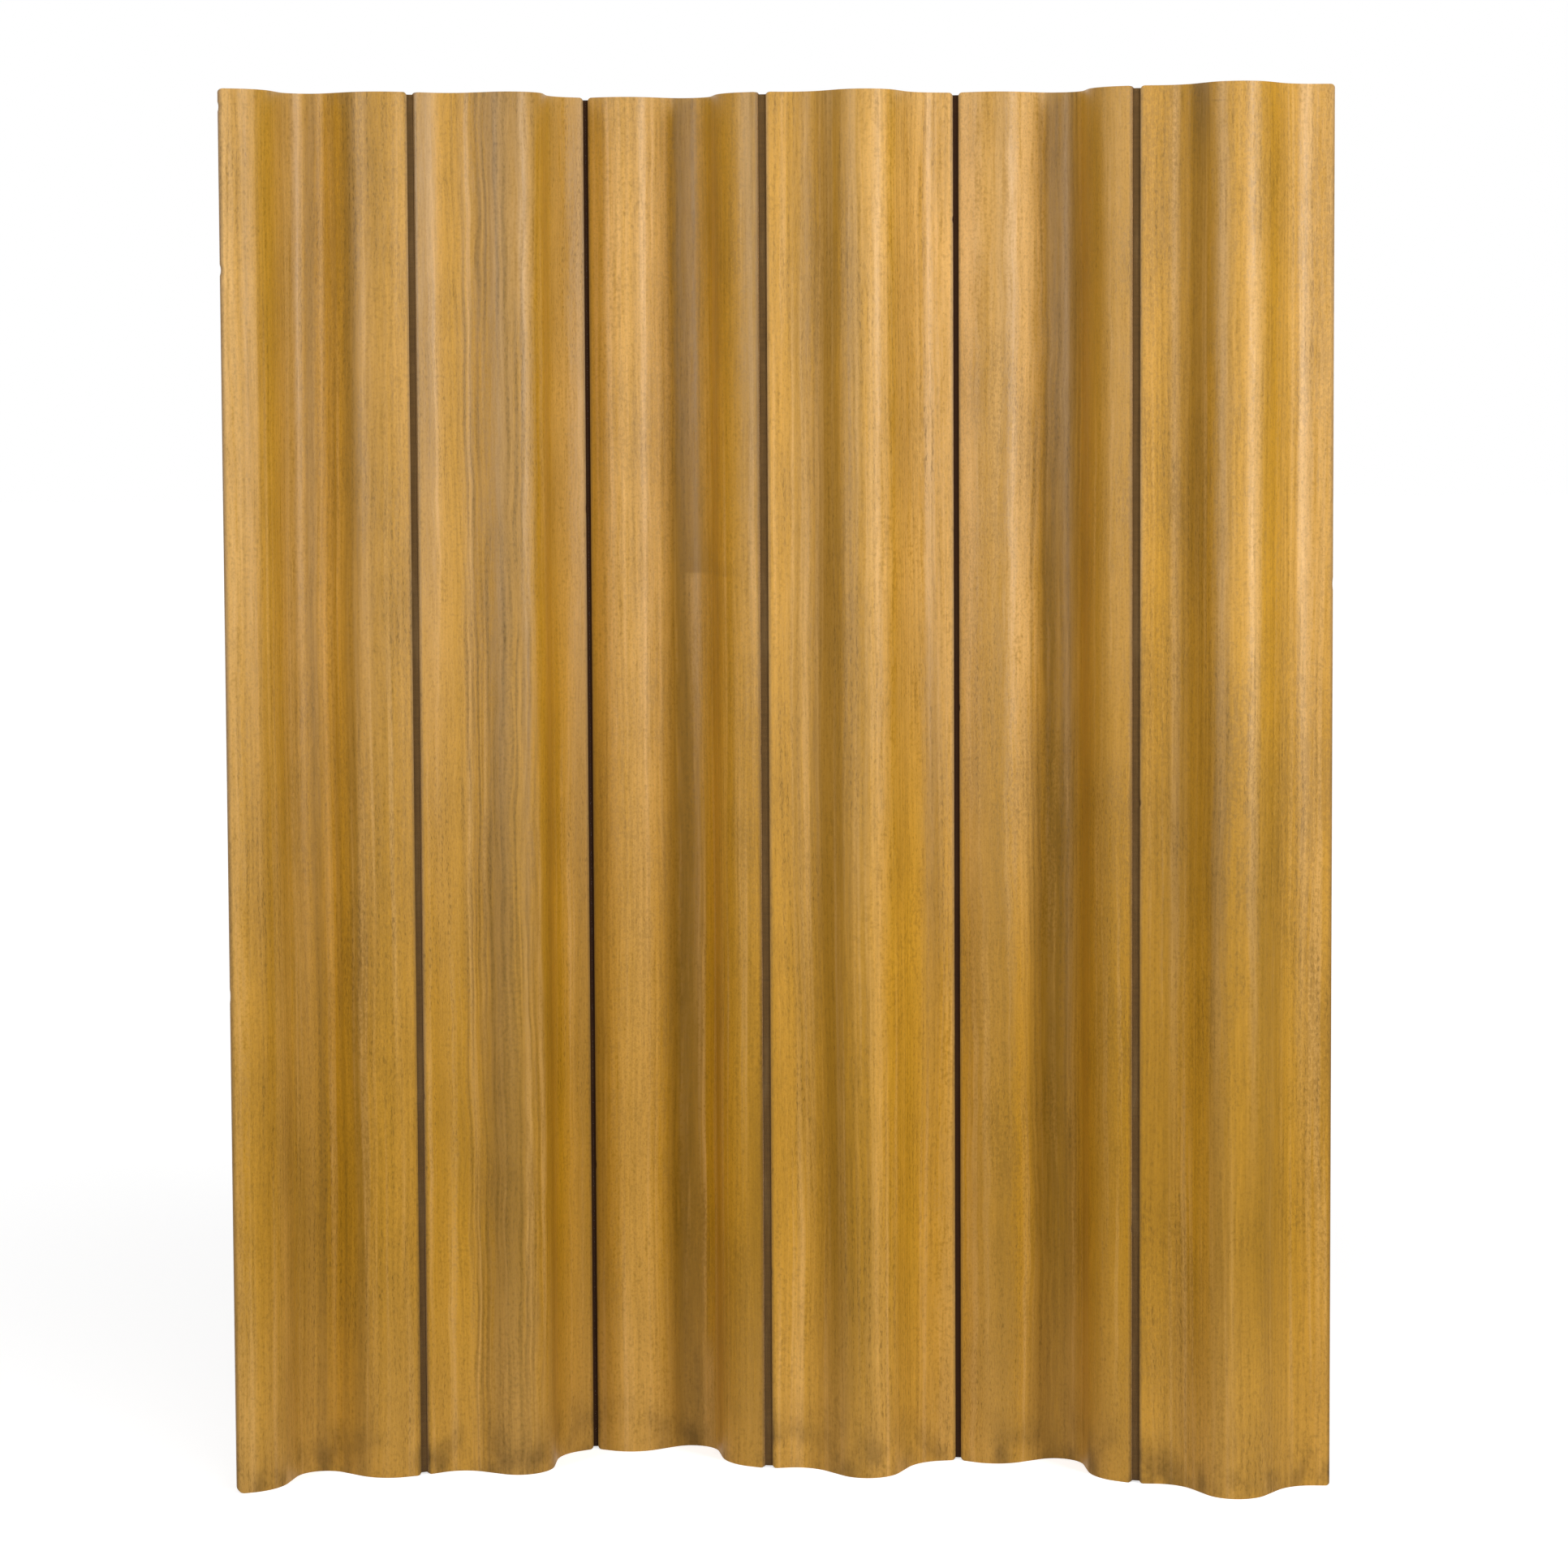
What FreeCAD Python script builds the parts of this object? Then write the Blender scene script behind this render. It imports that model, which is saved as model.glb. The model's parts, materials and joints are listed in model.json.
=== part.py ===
"""Free-standing folding screen: six moulded plywood panels joined by five full-length canvas hinges.

Each panel is a wavy channel section pressed from five plies: two face veneers, two crossbands and a core.
The core stops short of every hinged edge, and the tail of a canvas strip sits in the slot that it leaves.
The free web of the canvas bends along two upright fold lines, one just off each panel edge.

Frame: millimetres, +Z up, +X to the right seen from the front, +Y away from the viewer.
The origin is the centre of the footprint box on the floor, with the screen half open.
"""
import FreeCAD
import Part
import math
import os
import Sketcher
from enum import IntEnum
from FreeCAD import Placement, Rotation, Vector

PANEL_COUNT = 6
HINGE_COUNT = PANEL_COUNT - 1

# Driving sizes: alias, value in millimetres or degrees, meaning
DRIVING_SIZES = [
    ("panel_height", 1727, "height of every panel"),
    ("margin", 20, "flat strip beside each panel edge, on the mid surface"),
    ("foot_radius", 58, "bend from the flat strip into the slope, on the mid surface"),
    ("slope_length", 29, "straight slope between the two bends"),
    ("slope_angle", 56, "slope against the chord of the panel"),
    ("crown_radius", 40, "bend over the crown of the channel, on the mid surface"),
    ("face_ply", 1.0, "thickness of a face veneer"),
    ("cross_ply", 1.6, "thickness of a crossband"),
    ("core_ply", 1.6, "thickness of the core"),
    ("glue_line", 0.05, "glue between two plies"),
    ("corner_radius", 5, "rounded corner at the top and the foot of a panel edge"),
    ("slot_shoulder", 3, "flat strip left between the canvas slot and the bend"),
    ("slot_end_clear", 0.5, "room at the blind end of the canvas slot"),
    ("canvas_clear", 0.1, "glue on each face of the canvas in its slot"),
    ("canvas_inset", 3, "canvas short of the panel at the top and the foot"),
    ("fold_clear", 0.1, "room between the rounded edge of the web and the panel edge"),
    ("nest_clear", 0.4, "room at the hinge between two panels folded on each other"),
    ("first_heading", 21, "turn of the first panel away from the viewer"),
    ("fold_angle_1", 10, "turn at hinge 1, away from the viewer"),
    ("fold_angle_2", 55, "turn at hinge 2, towards the viewer"),
    ("fold_angle_3", 33, "turn at hinge 3, away from the viewer"),
    ("fold_angle_4", 37, "turn at hinge 4, towards the viewer"),
    ("fold_angle_5", 25, "turn at hinge 5, away from the viewer"),
]

UP = Vector(0, 0, 1)
# Arcs take their angles in radians, placements in degrees
QUARTER_TURN = math.pi / 2
HALF_TURN = 180
# Two points closer than this are the same point
SNAP = 1e-4


class At(IntEnum):
    """A point of a sketch curve."""

    START = 1
    END = 2
    CENTRE = 3


class Fixed(IntEnum):
    """The two axes that every sketch has. The level axis also starts at the origin of the sketch."""

    LEVEL_AXIS = -1
    UPRIGHT_AXIS = -2


ORIGIN = (Fixed.LEVEL_AXIS, At.START)


class FormulaSheet:
    """A sheet of values worked out from the driving sizes, one alias to a row."""

    def __init__(self, document, name):
        self.sheet = document.addObject("Spreadsheet::Sheet", name)
        self.cells = {}

    def add(self, alias, formula):
        """Write one formula cell and give it its alias."""
        row = len(self.cells) + 1
        self.cells[alias] = f"B{row}"
        self.sheet.set(f"A{row}", alias)
        self.sheet.set(self.cells[alias], formula)
        self.sheet.setAlias(self.cells[alias], alias)

    def change(self, alias, value):
        """Replace the contents of one cell."""
        self.sheet.set(self.cells[alias], str(value))


def write_sizes(document):
    """Put the driving sizes on a sheet as plain numbers."""
    sheet = document.addObject("Spreadsheet::Sheet", "Sizes")
    for row, (alias, value, meaning) in enumerate(DRIVING_SIZES, start=1):
        sheet.set(f"A{row}", alias)
        sheet.set(f"B{row}", str(value))
        sheet.set(f"C{row}", meaning)
        sheet.setAlias(f"B{row}", alias)
    return sheet


def write_layout(document):
    """Work out ply offsets and canvas sizes, and where each panel and fold line stands in plan."""
    layout = FormulaSheet(document, "Layout")
    # Offsets of the ply faces from the mid surface
    layout.add("core_face", "=Sizes.core_ply / 2")
    layout.add("cross_inner", "=core_face + Sizes.glue_line")
    layout.add("cross_outer", "=cross_inner + Sizes.cross_ply")
    layout.add("veneer_inner", "=cross_outer + Sizes.glue_line")
    layout.add("veneer_outer", "=veneer_inner + Sizes.face_ply")
    # Half of a panel along its chord, from the crown to the edge
    layout.add("half_bend", "=(Sizes.foot_radius + Sizes.crown_radius) * sin(Sizes.slope_angle)")
    layout.add("half_width", "=Sizes.margin + half_bend + Sizes.slope_length * cos(Sizes.slope_angle)")
    # Canvas: thickness from the slot that holds it, fold lines from the thickness of the folded panels
    layout.add("canvas_thick", "=2 * (cross_inner - Sizes.canvas_clear)")
    layout.add("canvas_height", "=Sizes.panel_height - 2 * Sizes.canvas_inset")
    layout.add("tail_length", "=Sizes.margin - Sizes.slot_shoulder - Sizes.slot_end_clear")
    layout.add("fold_setback", "=canvas_thick / 2 + Sizes.fold_clear")
    layout.add("fold_span", "=2 * veneer_outer + Sizes.nest_clear")
    layout.add("reach", "=half_width + fold_setback")
    # Shift that brings the footprint box over the origin, filled in once the shapes are there
    layout.add("shift_x", "0")
    layout.add("shift_y", "0")
    # The row from the left: middle of each panel's chord, then the two fold lines of the hinge after it
    layout.add("heading_1", "=Sizes.first_heading")
    layout.add("panel_1_x", "=shift_x")
    layout.add("panel_1_y", "=shift_y")
    for hinge in range(1, HINGE_COUNT + 1):
        following = hinge + 1
        # Odd hinges turn the next panel away from the viewer, even hinges towards the viewer
        sign = "+" if hinge % 2 == 1 else "-"
        layout.add(f"web_{hinge}_turn", f"=heading_{hinge} {sign} Sizes.fold_angle_{hinge} / 2")
        layout.add(f"heading_{following}", f"=heading_{hinge} {sign} Sizes.fold_angle_{hinge}")
        for axis, wave in (("x", "cos"), ("y", "sin")):
            left = f"left_fold_{hinge}_{axis}"
            right = f"right_fold_{hinge}_{axis}"
            layout.add(left, f"=panel_{hinge}_{axis} + reach * {wave}(heading_{hinge})")
            layout.add(right, f"={left} + fold_span * {wave}(web_{hinge}_turn)")
            layout.add(f"panel_{following}_{axis}", f"={right} + reach * {wave}(heading_{following})")
    return layout


def flat_sketch(body, name):
    """Add a sketch on the floor plane of a body."""
    sketch = body.newObject("Sketcher::SketchObject", name)
    floor = next(plane for plane in body.Origin.OriginFeatures if plane.Role == "XY_Plane")
    sketch.AttachmentSupport = [(floor, "")]
    sketch.MapMode = "FlatFace"
    return sketch


def bind(sketch, kind, *references, start, formula):
    """Add a sized constraint to a sketch and bind its value to the sheets."""
    index = sketch.addConstraint(Sketcher.Constraint(kind, *references, start))
    sketch.setExpression(f"Constraints[{index}]", formula)


def tie(sketch, kind, *references):
    """Add a constraint that has no size."""
    sketch.addConstraint(Sketcher.Constraint(kind, *references))


def arc(centre, radius, first_angle, last_angle):
    """An arc that runs against the clock from the first angle to the last."""
    return Part.ArcOfCircle(Part.Circle(centre, UP, radius), first_angle, last_angle)


class PlySide:
    """One side of a ply in plan: margin, foot bend, slope, crown bend, slope, foot bend, margin."""

    def __init__(self, sizes, offset, offset_formula):
        self.sizes = sizes
        self.offset = offset
        self.offset_formula = offset_formula

    def draw(self, sketch, left_margin, right_margin):
        """Draw the side in a sketch and return its first and last curve.

        The margins come as a starting length and a formula each.
        """
        size = self.sizes.get
        slope = math.radians(size("slope_angle"))
        foot = size("foot_radius") - self.offset
        crown = size("crown_radius") + self.offset
        bends = size("foot_radius") + size("crown_radius")
        run = size("slope_length") * math.cos(slope)
        rise = size("slope_length") * math.sin(slope)
        foot_x = bends * math.sin(slope) + run
        crown_centre = Vector(0, size("foot_radius") - bends * math.cos(slope) + rise, 0)
        left_centre = Vector(-foot_x, size("foot_radius"), 0)
        right_centre = Vector(foot_x, size("foot_radius"), 0)
        left_start = left_centre + Vector(0, -foot, 0)
        right_end = right_centre + Vector(0, -foot, 0)
        foot_end = left_centre + Vector(foot * math.sin(slope), -foot * math.cos(slope), 0)
        crown_start = foot_end + Vector(run, rise, 0)
        foot_end_right = Vector(-foot_end.x, foot_end.y, 0)
        crown_end = Vector(-crown_start.x, crown_start.y, 0)
        curves = [
            Part.LineSegment(left_start - Vector(left_margin[0], 0, 0), left_start),
            arc(left_centre, foot, -QUARTER_TURN, slope - QUARTER_TURN),
            Part.LineSegment(foot_end, crown_start),
            arc(crown_centre, crown, QUARTER_TURN - slope, QUARTER_TURN + slope),
            Part.LineSegment(crown_end, foot_end_right),
            arc(right_centre, foot, -QUARTER_TURN - slope, -QUARTER_TURN),
            Part.LineSegment(right_end, right_end + Vector(right_margin[0], 0, 0)),
        ]
        numbers = sketch.addGeometry(curves, False)
        self.tie_down(sketch, numbers, left_margin, right_margin)
        return numbers[0], numbers[-1]

    def tie_down(self, sketch, numbers, left_margin, right_margin):
        """Join the curves smoothly and bind their sizes, so that the side can move no more."""
        left_line, left_foot, left_slope, crown, right_slope, right_foot, right_line = numbers
        size = self.sizes.get
        tie(sketch, "Tangent", left_line, At.END, left_foot, At.START)
        tie(sketch, "Tangent", left_foot, At.END, left_slope, At.START)
        tie(sketch, "Tangent", left_slope, At.END, crown, At.END)
        tie(sketch, "Tangent", crown, At.START, right_slope, At.START)
        tie(sketch, "Tangent", right_slope, At.END, right_foot, At.START)
        tie(sketch, "Tangent", right_foot, At.END, right_line, At.START)
        tie(sketch, "Horizontal", left_line)
        tie(sketch, "Horizontal", right_line)
        tie(sketch, "PointOnObject", crown, At.CENTRE, Fixed.UPRIGHT_AXIS)
        foot_formula = f"Sizes.foot_radius - ({self.offset_formula})"
        crown_formula = f"Sizes.crown_radius + ({self.offset_formula})"
        foot = size("foot_radius") - self.offset
        for bend in (left_foot, right_foot):
            bind(sketch, "Radius", bend, start=foot, formula=foot_formula)
        bind(sketch, "Radius", crown, start=size("crown_radius") + self.offset, formula=crown_formula)
        for line in (left_slope, right_slope):
            bind(sketch, "Distance", line, start=size("slope_length"), formula="Sizes.slope_length")
        slope = math.radians(size("slope_angle"))
        bind(sketch, "Angle", left_slope, start=slope, formula="Sizes.slope_angle * 1 deg")
        bind(sketch, "Angle", right_slope, start=-slope, formula="-Sizes.slope_angle * 1 deg")
        bind(sketch, "DistanceY", *ORIGIN, left_foot, At.CENTRE, start=size("foot_radius"),
             formula="Sizes.foot_radius")
        for line, (length, formula) in ((left_line, left_margin), (right_line, right_margin)):
            bind(sketch, "Distance", line, start=length, formula=formula)


def make_ply(document, label, sides, left_margin, right_margin):
    """Press one ply: the section between two sides, run up the full height of the panel."""
    body = document.addObject("PartDesign::Body", label)
    body.Label = label
    sketch = flat_sketch(body, f"{label}_section")
    hollow_first, hollow_last = sides[0].draw(sketch, left_margin, right_margin)
    crown_first, crown_last = sides[1].draw(sketch, left_margin, right_margin)
    corners = [
        (hollow_first, At.START, crown_first, At.START),
        (hollow_last, At.END, crown_last, At.END),
    ]
    for low_curve, low_point, high_curve, high_point in corners:
        low = sketch.getPoint(low_curve, low_point)
        high = sketch.getPoint(high_curve, high_point)
        edge = sketch.addGeometry(Part.LineSegment(low, high), False)
        tie(sketch, "Coincident", edge, At.START, low_curve, low_point)
        tie(sketch, "Coincident", edge, At.END, high_curve, high_point)
    raise_sketch(body, sketch, "Sizes.panel_height")
    return body


def raise_sketch(body, sketch, height_formula):
    """Pad a sketch upwards to a height from the sheets."""
    pad = body.newObject("PartDesign::Pad", f"{body.Name}_height")
    pad.Profile = sketch
    pad.setExpression("Length", height_formula)
    sketch.Visibility = False
    return pad


def round_corners(body, half_width, height):
    """Round the corners at the top and the foot of each panel edge that this ply reaches."""
    pad = body.Tip
    names = []
    for number, edge in enumerate(pad.Shape.Edges, start=1):
        ends = [vertex.Point for vertex in edge.Vertexes]
        at_edge = all(abs(abs(point.x) - half_width) < SNAP for point in ends)
        low = all(abs(point.z) < SNAP for point in ends)
        high = all(abs(point.z - height) < SNAP for point in ends)
        if at_edge and (low or high):
            names.append(f"Edge{number}")
    if names:
        fillet = body.newObject("PartDesign::Fillet", f"{body.Name}_corners")
        fillet.Base = (pad, names)
        fillet.setExpression("Radius", "Sizes.corner_radius")


def make_tail(document, label, layout):
    """Canvas glued into a panel edge: a flat strip that starts at the edge, with the fold line as origin."""
    body = document.addObject("PartDesign::Body", label)
    body.Label = label
    sketch = flat_sketch(body, f"{label}_section")
    near = layout.get("fold_setback")
    far = near + layout.get("tail_length")
    half = layout.get("canvas_thick") / 2
    corners = [Vector(near, -half, 0), Vector(far, -half, 0), Vector(far, half, 0), Vector(near, half, 0)]
    lines = [Part.LineSegment(first, second) for first, second in zip(corners, corners[1:] + corners[:1])]
    low, end, high, mouth = sketch.addGeometry(lines, False)
    for first, second in ((low, end), (end, high), (high, mouth), (mouth, low)):
        tie(sketch, "Coincident", first, At.END, second, At.START)
    tie(sketch, "Horizontal", low)
    tie(sketch, "Horizontal", high)
    tie(sketch, "Vertical", end)
    tie(sketch, "Symmetric", low, At.START, mouth, At.START, Fixed.LEVEL_AXIS)
    bind(sketch, "DistanceX", *ORIGIN, low, At.START, start=near, formula="Layout.fold_setback")
    bind(sketch, "Distance", low, start=far - near, formula="Layout.tail_length")
    bind(sketch, "Distance", mouth, start=2 * half, formula="Layout.canvas_thick")
    raise_sketch(body, sketch, "Layout.canvas_height")
    return body


def make_web(document, label, layout):
    """Free web of a canvas strip: a thin plate, rounded about both fold lines. The left one is its origin."""
    body = document.addObject("PartDesign::Body", label)
    body.Label = label
    sketch = flat_sketch(body, f"{label}_section")
    radius = layout.get("canvas_thick") / 2
    span = layout.get("fold_span")
    curves = [
        Part.LineSegment(Vector(0, -radius, 0), Vector(span, -radius, 0)),
        arc(Vector(span, 0, 0), radius, -QUARTER_TURN, QUARTER_TURN),
        Part.LineSegment(Vector(span, radius, 0), Vector(0, radius, 0)),
        arc(Vector(0, 0, 0), radius, QUARTER_TURN, 3 * QUARTER_TURN),
    ]
    low, right, high, left = sketch.addGeometry(curves, False)
    for first, second in ((low, right), (right, high), (high, left), (left, low)):
        tie(sketch, "Tangent", first, At.END, second, At.START)
    tie(sketch, "Coincident", left, At.CENTRE, *ORIGIN)
    tie(sketch, "PointOnObject", right, At.CENTRE, Fixed.LEVEL_AXIS)
    tie(sketch, "Equal", left, right)
    bind(sketch, "Radius", left, start=radius, formula="Layout.canvas_thick / 2")
    bind(sketch, "DistanceX", *ORIGIN, right, At.CENTRE, start=span, formula="Layout.fold_span")
    raise_sketch(body, sketch, "Layout.canvas_height")
    return body


def stand(part, spot, turn_formula, height_formula=None):
    """Stand a sub-part on its spot in plan, turned about the upright axis."""
    # A first turn gives the rotation its upright axis, and the formula then sets the angle
    part.Placement = Placement(Vector(0, 0, 0), Rotation(UP, HALF_TURN))
    part.setExpression("Placement.Base.x", f"Layout.{spot}_x")
    part.setExpression("Placement.Base.y", f"Layout.{spot}_y")
    part.setExpression("Placement.Rotation.Angle", turn_formula)
    if height_formula:
        part.setExpression("Placement.Base.z", height_formula)


def make_panel(document, panel, sizes, layout):
    """Make the five plies of one panel and stand them in the row.

    An odd panel has its crown away from the viewer. An even panel is the same pressing turned half round,
    with its crown towards the viewer, so its front is the crown side.
    """
    front, back = (-1, 1) if panel % 2 == 1 else (1, -1)
    plies = [
        ("front_veneer", front, "veneer_inner", "veneer_outer"),
        ("front_crossband", front, "cross_inner", "cross_outer"),
        ("core", 1, None, "core_face"),
        ("back_crossband", back, "cross_inner", "cross_outer"),
        ("back_veneer", back, "veneer_inner", "veneer_outer"),
    ]
    full = (sizes.get("margin"), "Sizes.margin")
    short = (sizes.get("slot_shoulder"), "Sizes.slot_shoulder")
    made = []
    for name, crown_side, inner, outer in plies:
        offsets = [(crown_side * layout.get(outer), f"{crown_side} * Layout.{outer}")]
        if inner is None:
            offsets.append((-layout.get(outer), f"-1 * Layout.{outer}"))
        else:
            offsets.append((crown_side * layout.get(inner), f"{crown_side} * Layout.{inner}"))
        sides = [PlySide(sizes, value, formula) for value, formula in sorted(offsets)]
        left, right = full, full
        if name == "core":
            # Turned half round, an even panel has its own left edge on the right of the row
            left = full if panel == 1 else short
            right = full if panel == PANEL_COUNT else short
            if panel % 2 == 0:
                left, right = right, left
        ply = make_ply(document, f"panel_{panel}_{name}", sides, left, right)
        turned = 0 if panel % 2 == 1 else HALF_TURN
        stand(ply, f"panel_{panel}", f"Layout.heading_{panel} + {turned}")
        made.append(ply)
    return made


def make_hinge(document, hinge, layout):
    """Make the canvas of one hinge: the tail in the left panel, the free web, the tail in the right panel."""
    left_tail = make_tail(document, f"hinge_{hinge}_left_tail", layout)
    stand(left_tail, f"left_fold_{hinge}", f"Layout.heading_{hinge} + {HALF_TURN}", "Sizes.canvas_inset")
    web = make_web(document, f"hinge_{hinge}_web", layout)
    stand(web, f"left_fold_{hinge}", f"Layout.web_{hinge}_turn", "Sizes.canvas_inset")
    right_tail = make_tail(document, f"hinge_{hinge}_right_tail", layout)
    stand(right_tail, f"right_fold_{hinge}", f"Layout.heading_{hinge + 1}", "Sizes.canvas_inset")
    return [left_tail, web, right_tail]


def centre_footprint(document, parts, layout):
    """Shift the whole row so that its footprint box is centred on the origin."""
    whole = FreeCAD.BoundBox()
    for part in parts:
        whole.add(part.Shape.optimalBoundingBox(False, False))
    layout.change("shift_x", -whole.Center.x)
    layout.change("shift_y", -whole.Center.y)
    document.recompute()


def check(document, parts):
    """Stop when any object is in error or any shape is missing or broken."""
    for item in document.Objects:
        if "Invalid" in item.State or "Error" in item.State:
            raise RuntimeError(f"{item.Label} is in error: {item.State}")
    for part in parts:
        if part.Shape.isNull() or not part.Shape.isValid() or len(part.Shape.Solids) != 1:
            raise RuntimeError(f"{part.Label} has no sound solid")


def main():
    """Build the screen and write one file for each sub-part."""
    os.makedirs("parts", exist_ok=True)
    document = FreeCAD.newDocument("folding_screen")
    sizes = write_sizes(document)
    layout = write_layout(document)
    document.recompute()
    plies = []
    for panel in range(1, PANEL_COUNT + 1):
        plies += make_panel(document, panel, sizes, layout.sheet)
    canvas = []
    for hinge in range(1, HINGE_COUNT + 1):
        canvas += make_hinge(document, hinge, layout.sheet)
    document.recompute()
    for ply in plies:
        round_corners(ply, layout.sheet.get("half_width"), sizes.get("panel_height"))
    document.recompute()
    parts = plies + canvas
    centre_footprint(document, parts, layout)
    check(document, parts)
    for part in parts:
        part.Shape.exportStep(f"parts/{part.Label}.step")


main()
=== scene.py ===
"""Looks of a free-standing folding screen: six pressed plywood panels joined by five canvas hinges.

Every piece is built in metres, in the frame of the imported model: +Z up, +X along the row to the viewer's
right, +Y away from the viewer. Panels and hinges are counted from the left of the row.
"""
import json
import logging
import math
from dataclasses import dataclass, field, replace
from enum import Enum
from typing import Any, Callable, Optional, Sequence, Union

import bpy
import numpy as np
from mathutils import Matrix, Vector


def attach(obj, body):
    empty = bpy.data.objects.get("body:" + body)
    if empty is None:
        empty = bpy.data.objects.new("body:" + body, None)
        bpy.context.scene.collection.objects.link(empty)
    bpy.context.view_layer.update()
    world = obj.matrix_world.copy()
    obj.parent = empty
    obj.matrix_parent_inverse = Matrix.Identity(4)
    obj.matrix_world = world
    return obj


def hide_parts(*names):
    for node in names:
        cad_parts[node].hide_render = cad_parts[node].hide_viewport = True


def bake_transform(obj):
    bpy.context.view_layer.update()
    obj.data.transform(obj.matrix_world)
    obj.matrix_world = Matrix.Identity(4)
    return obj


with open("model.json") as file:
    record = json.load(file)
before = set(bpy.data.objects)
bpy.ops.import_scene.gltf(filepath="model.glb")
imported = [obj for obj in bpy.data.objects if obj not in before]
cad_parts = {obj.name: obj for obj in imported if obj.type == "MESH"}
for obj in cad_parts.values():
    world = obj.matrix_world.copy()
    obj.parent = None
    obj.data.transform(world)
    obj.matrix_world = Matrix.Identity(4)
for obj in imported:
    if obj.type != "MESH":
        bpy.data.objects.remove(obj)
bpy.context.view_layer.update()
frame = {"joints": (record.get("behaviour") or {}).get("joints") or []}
log = logging.getLogger("folding_screen")

MM = 0.001
PERCENT = 0.01
PANEL_COUNT = 6
PHOTO_SIDE = 1932
GRAIN_MAP = "grain_plane"
BAKE_MAP = "OFBake"
Colour = tuple[float, float, float, float]
Span = tuple[float, float]
WHITE: Colour = (1.0, 1.0, 1.0, 1.0)
PANEL_HEIGHT = 1727 * MM
SHARP_ANGLE = math.radians(48)
NOISE_MEAN = 0.5
# Sockets of a node that mixes colours, by number, because other sockets share their names
MIX_SHARE, MIX_FIRST, MIX_SECOND = 0, 6, 7
MIX_RESULT = 2


def math_method(operation: str, reflected: bool = False) -> Callable[..., "Signal"]:
    """Make a method that adds one Math node to the tree of a signal.

    Args:
        operation: Blender's name of the operation.
        reflected: whether the other value comes first.

    Returns:
        The method.
    """

    def method(self: "Signal", *others: "Link") -> "Signal":
        """Add the node and hand back its result."""
        values = (*others, self) if reflected else (self, *others)
        return self.tree.node("ShaderNodeMath", {"operation": operation}, dict(enumerate(values)))

    return method


class Signal:
    """One output of a shader node. Arithmetic on it adds Math nodes to its tree."""

    def __init__(self, tree: "ShaderTree", socket: bpy.types.NodeSocket) -> None:
        """Keep the tree and the socket."""
        self.tree = tree
        self.socket = socket

    __add__ = math_method("ADD")
    __radd__ = math_method("ADD", reflected=True)
    __sub__ = math_method("SUBTRACT")
    __rsub__ = math_method("SUBTRACT", reflected=True)
    __mul__ = math_method("MULTIPLY")
    __rmul__ = math_method("MULTIPLY", reflected=True)
    __truediv__ = math_method("DIVIDE")
    __rtruediv__ = math_method("DIVIDE", reflected=True)
    __abs__ = math_method("ABSOLUTE")
    root = math_method("SQRT")
    fraction = math_method("FRACT")
    whole = math_method("FLOOR")
    least = math_method("MINIMUM")
    most = math_method("MAXIMUM")

    def smooth(self, low: float, high: float) -> "Signal":
        """Ease from 0 to 1 as the value goes from low to high."""
        inputs = {"Value": self, "From Min": low, "From Max": high}
        return self.tree.node("ShaderNodeMapRange", {"interpolation_type": "SMOOTHSTEP"}, inputs)

    def past(self, place: float, fade: float) -> "Signal":
        """Ease from 0 to 1 on the way past a place, from fade before it to fade after it."""
        return self.smooth(place - fade, place + fade)


Link = Union[Signal, float, Sequence[float]]


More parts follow.
